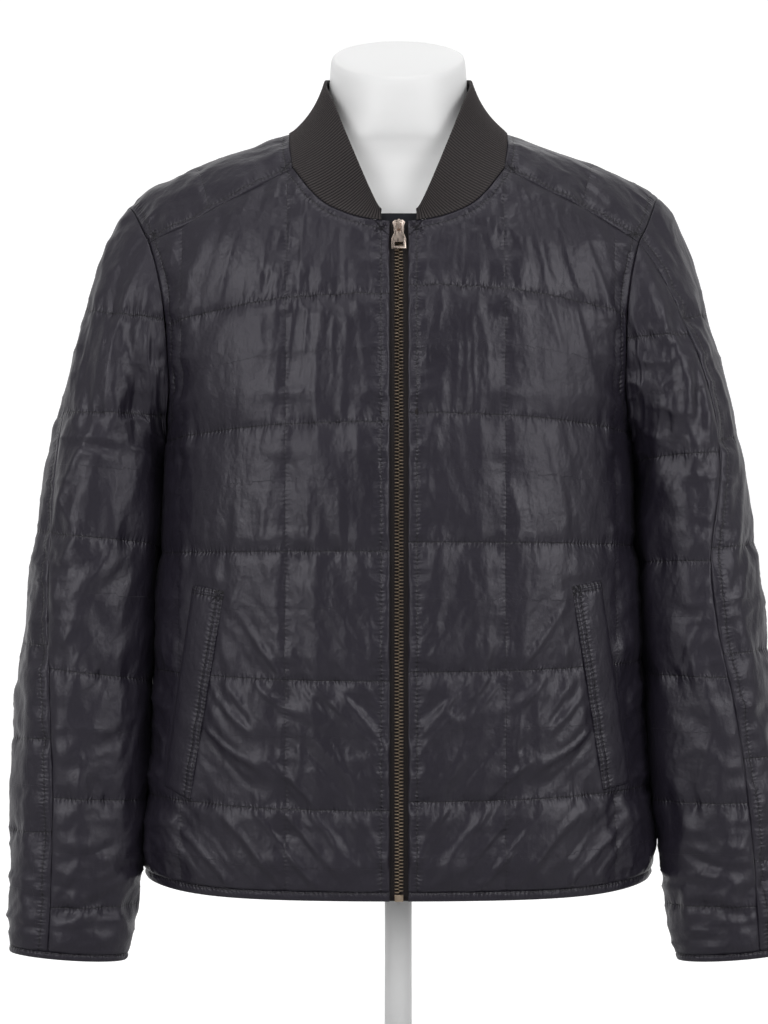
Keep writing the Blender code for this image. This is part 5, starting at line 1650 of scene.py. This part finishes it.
def make_studio():
    """A pale floor that curves up into a backdrop, broad soft lights and the camera."""
    x = np.linspace(-PAPER_WIDE, PAPER_WIDE, 25)
    angle = np.linspace(0, math.pi / 2, 17)[1:]
    floor = np.linspace(PAPER_NEAR, PAPER_FAR, 12)
    wall = np.linspace(1.5, 5, 6)
    bend, climb = PAPER_FAR + PAPER_BEND * np.sin(angle), PAPER_BEND * (1 - np.cos(angle))
    y = np.concatenate([floor, bend, [PAPER_FAR + PAPER_BEND] * 6])[:, None]
    z = np.concatenate([0 * floor, climb, wall])[:, None]
    points = np.stack(np.broadcast_arrays(x, y, z), axis=-1)
    index = np.arange(points.shape[0] * 25).reshape(-1, 25)
    corners = index[:-1, :-1], index[:-1, 1:], index[1:, 1:], index[1:, :-1]
    faces = np.stack(corners, axis=-1).reshape(-1, 4).tolist()
    paper = add_mesh("backdrop", points.reshape(-1, 3), faces, backdrop_white())
    world = bpy.data.worlds.new("studio")
    world.use_nodes = True
    tree = world.node_tree
    sky, place = tree.nodes["Background"], tree.nodes.new("ShaderNodeTexCoord")
    split, ramp = tree.nodes.new("ShaderNodeSeparateXYZ"), tree.nodes.new("ShaderNodeMapRange")
    limits = {"From Min": -0.7, "From Max": 0.1, "To Min": FRONT_SKY, "To Max": REAR_SKY}
    for socket, value in limits.items():
        ramp.inputs[socket].default_value = value
    tree.links.new(split.inputs[0], place.outputs["Generated"])
    tree.links.new(ramp.inputs["Value"], split.outputs["Y"])
    seen, brighter = tree.nodes.new("ShaderNodeLightPath"), tree.nodes.new("ShaderNodeMath")
    brighter.operation = "MAXIMUM"
    tree.links.new(brighter.inputs[0], ramp.outputs["Result"])
    tree.links.new(brighter.inputs[1], seen.outputs["Is Camera Ray"])
    tree.links.new(sky.inputs["Strength"], brighter.outputs["Value"])
    sky.inputs["Color"].default_value = (1.0, 1.0, 1.0, 1.0)
    bpy.context.scene.world = world
    for name, where, size, power in LAMPS:
        light = bpy.data.lights.new(name, "AREA")
        light.shape, light.energy = "RECTANGLE", power
        light.size, light.size_y = size
        lamp = bpy.data.objects.new(name, light)
        lamp.location = where
        lamp.rotation_euler = (Vector(AIM) - Vector(where)).to_track_quat("-Z", "Y").to_euler()
        bpy.context.scene.collection.objects.link(lamp)
    lens = bpy.data.cameras.new("camera")
    lens.sensor_fit, lens.sensor_height, lens.sensor_width = "VERTICAL", FRAME_HEIGHT, FRAME_HEIGHT
    lens.lens, lens.shift_y = CAMERA_LENS, CAMERA_SHIFT
    lens.clip_start, lens.clip_end = 0.1, 50.0
    camera = bpy.data.objects.new("camera", lens)
    camera.location = CAMERA_PLACE
    camera.rotation_euler = (math.pi / 2, 0.0, 0.0)
    bpy.context.scene.collection.objects.link(camera)
    bpy.context.scene.camera = camera
    bpy.context.scene.view_settings.view_transform = "Standard"


def main():
    """Makes the studio and the finishes, then every piece."""
    make_studio()
    cloth, knit = nylon(), rib_knit()
    tape, navy = [tape_cloth(name, *DYES[name]) for name in ("zip_tape", "navy_lining")]
    brass, nickel = [metal(name, *DYES[name]) for name in ("antique_brass", "rose_nickel")]
    white = form_white()
    make_form(white)
    make_stand(white)
    make_back(cloth, make_hem_band(cloth))
    for side in SIGN:
        make_front(side, cloth)
        make_sleeve(side, cloth, make_cuff_band(side, cloth))
        make_welt(side, cloth)
        inner, outer = SIGN[side] * TAPE_INNER, SIGN[side] * TAPE_OUTER
        node = "zip_tape_" + side
        top = NECK_RISE - 0.001
        strip(node + "_cloth", node, inner * 0.3, outer, TAPE_FACE, TAPE_BACK, 0.0, top, tape, 12)
    make_collar(knit)
    half, face, back = GUARD_HALF, GUARD_FACE, GUARD_BACK
    strip("zip_guard_cloth", "zip_guard", -half, half, face, back, 0.0, GUARD_TOP, navy, 12)
    make_teeth(brass)
    rounded("zip_box", brass, ROOT, 0.0003)
    rounded("zip_slider", nickel, ROOT, 0.0003)
    rounded("zip_pull", nickel, "zip_pull", 0.00025)


main()
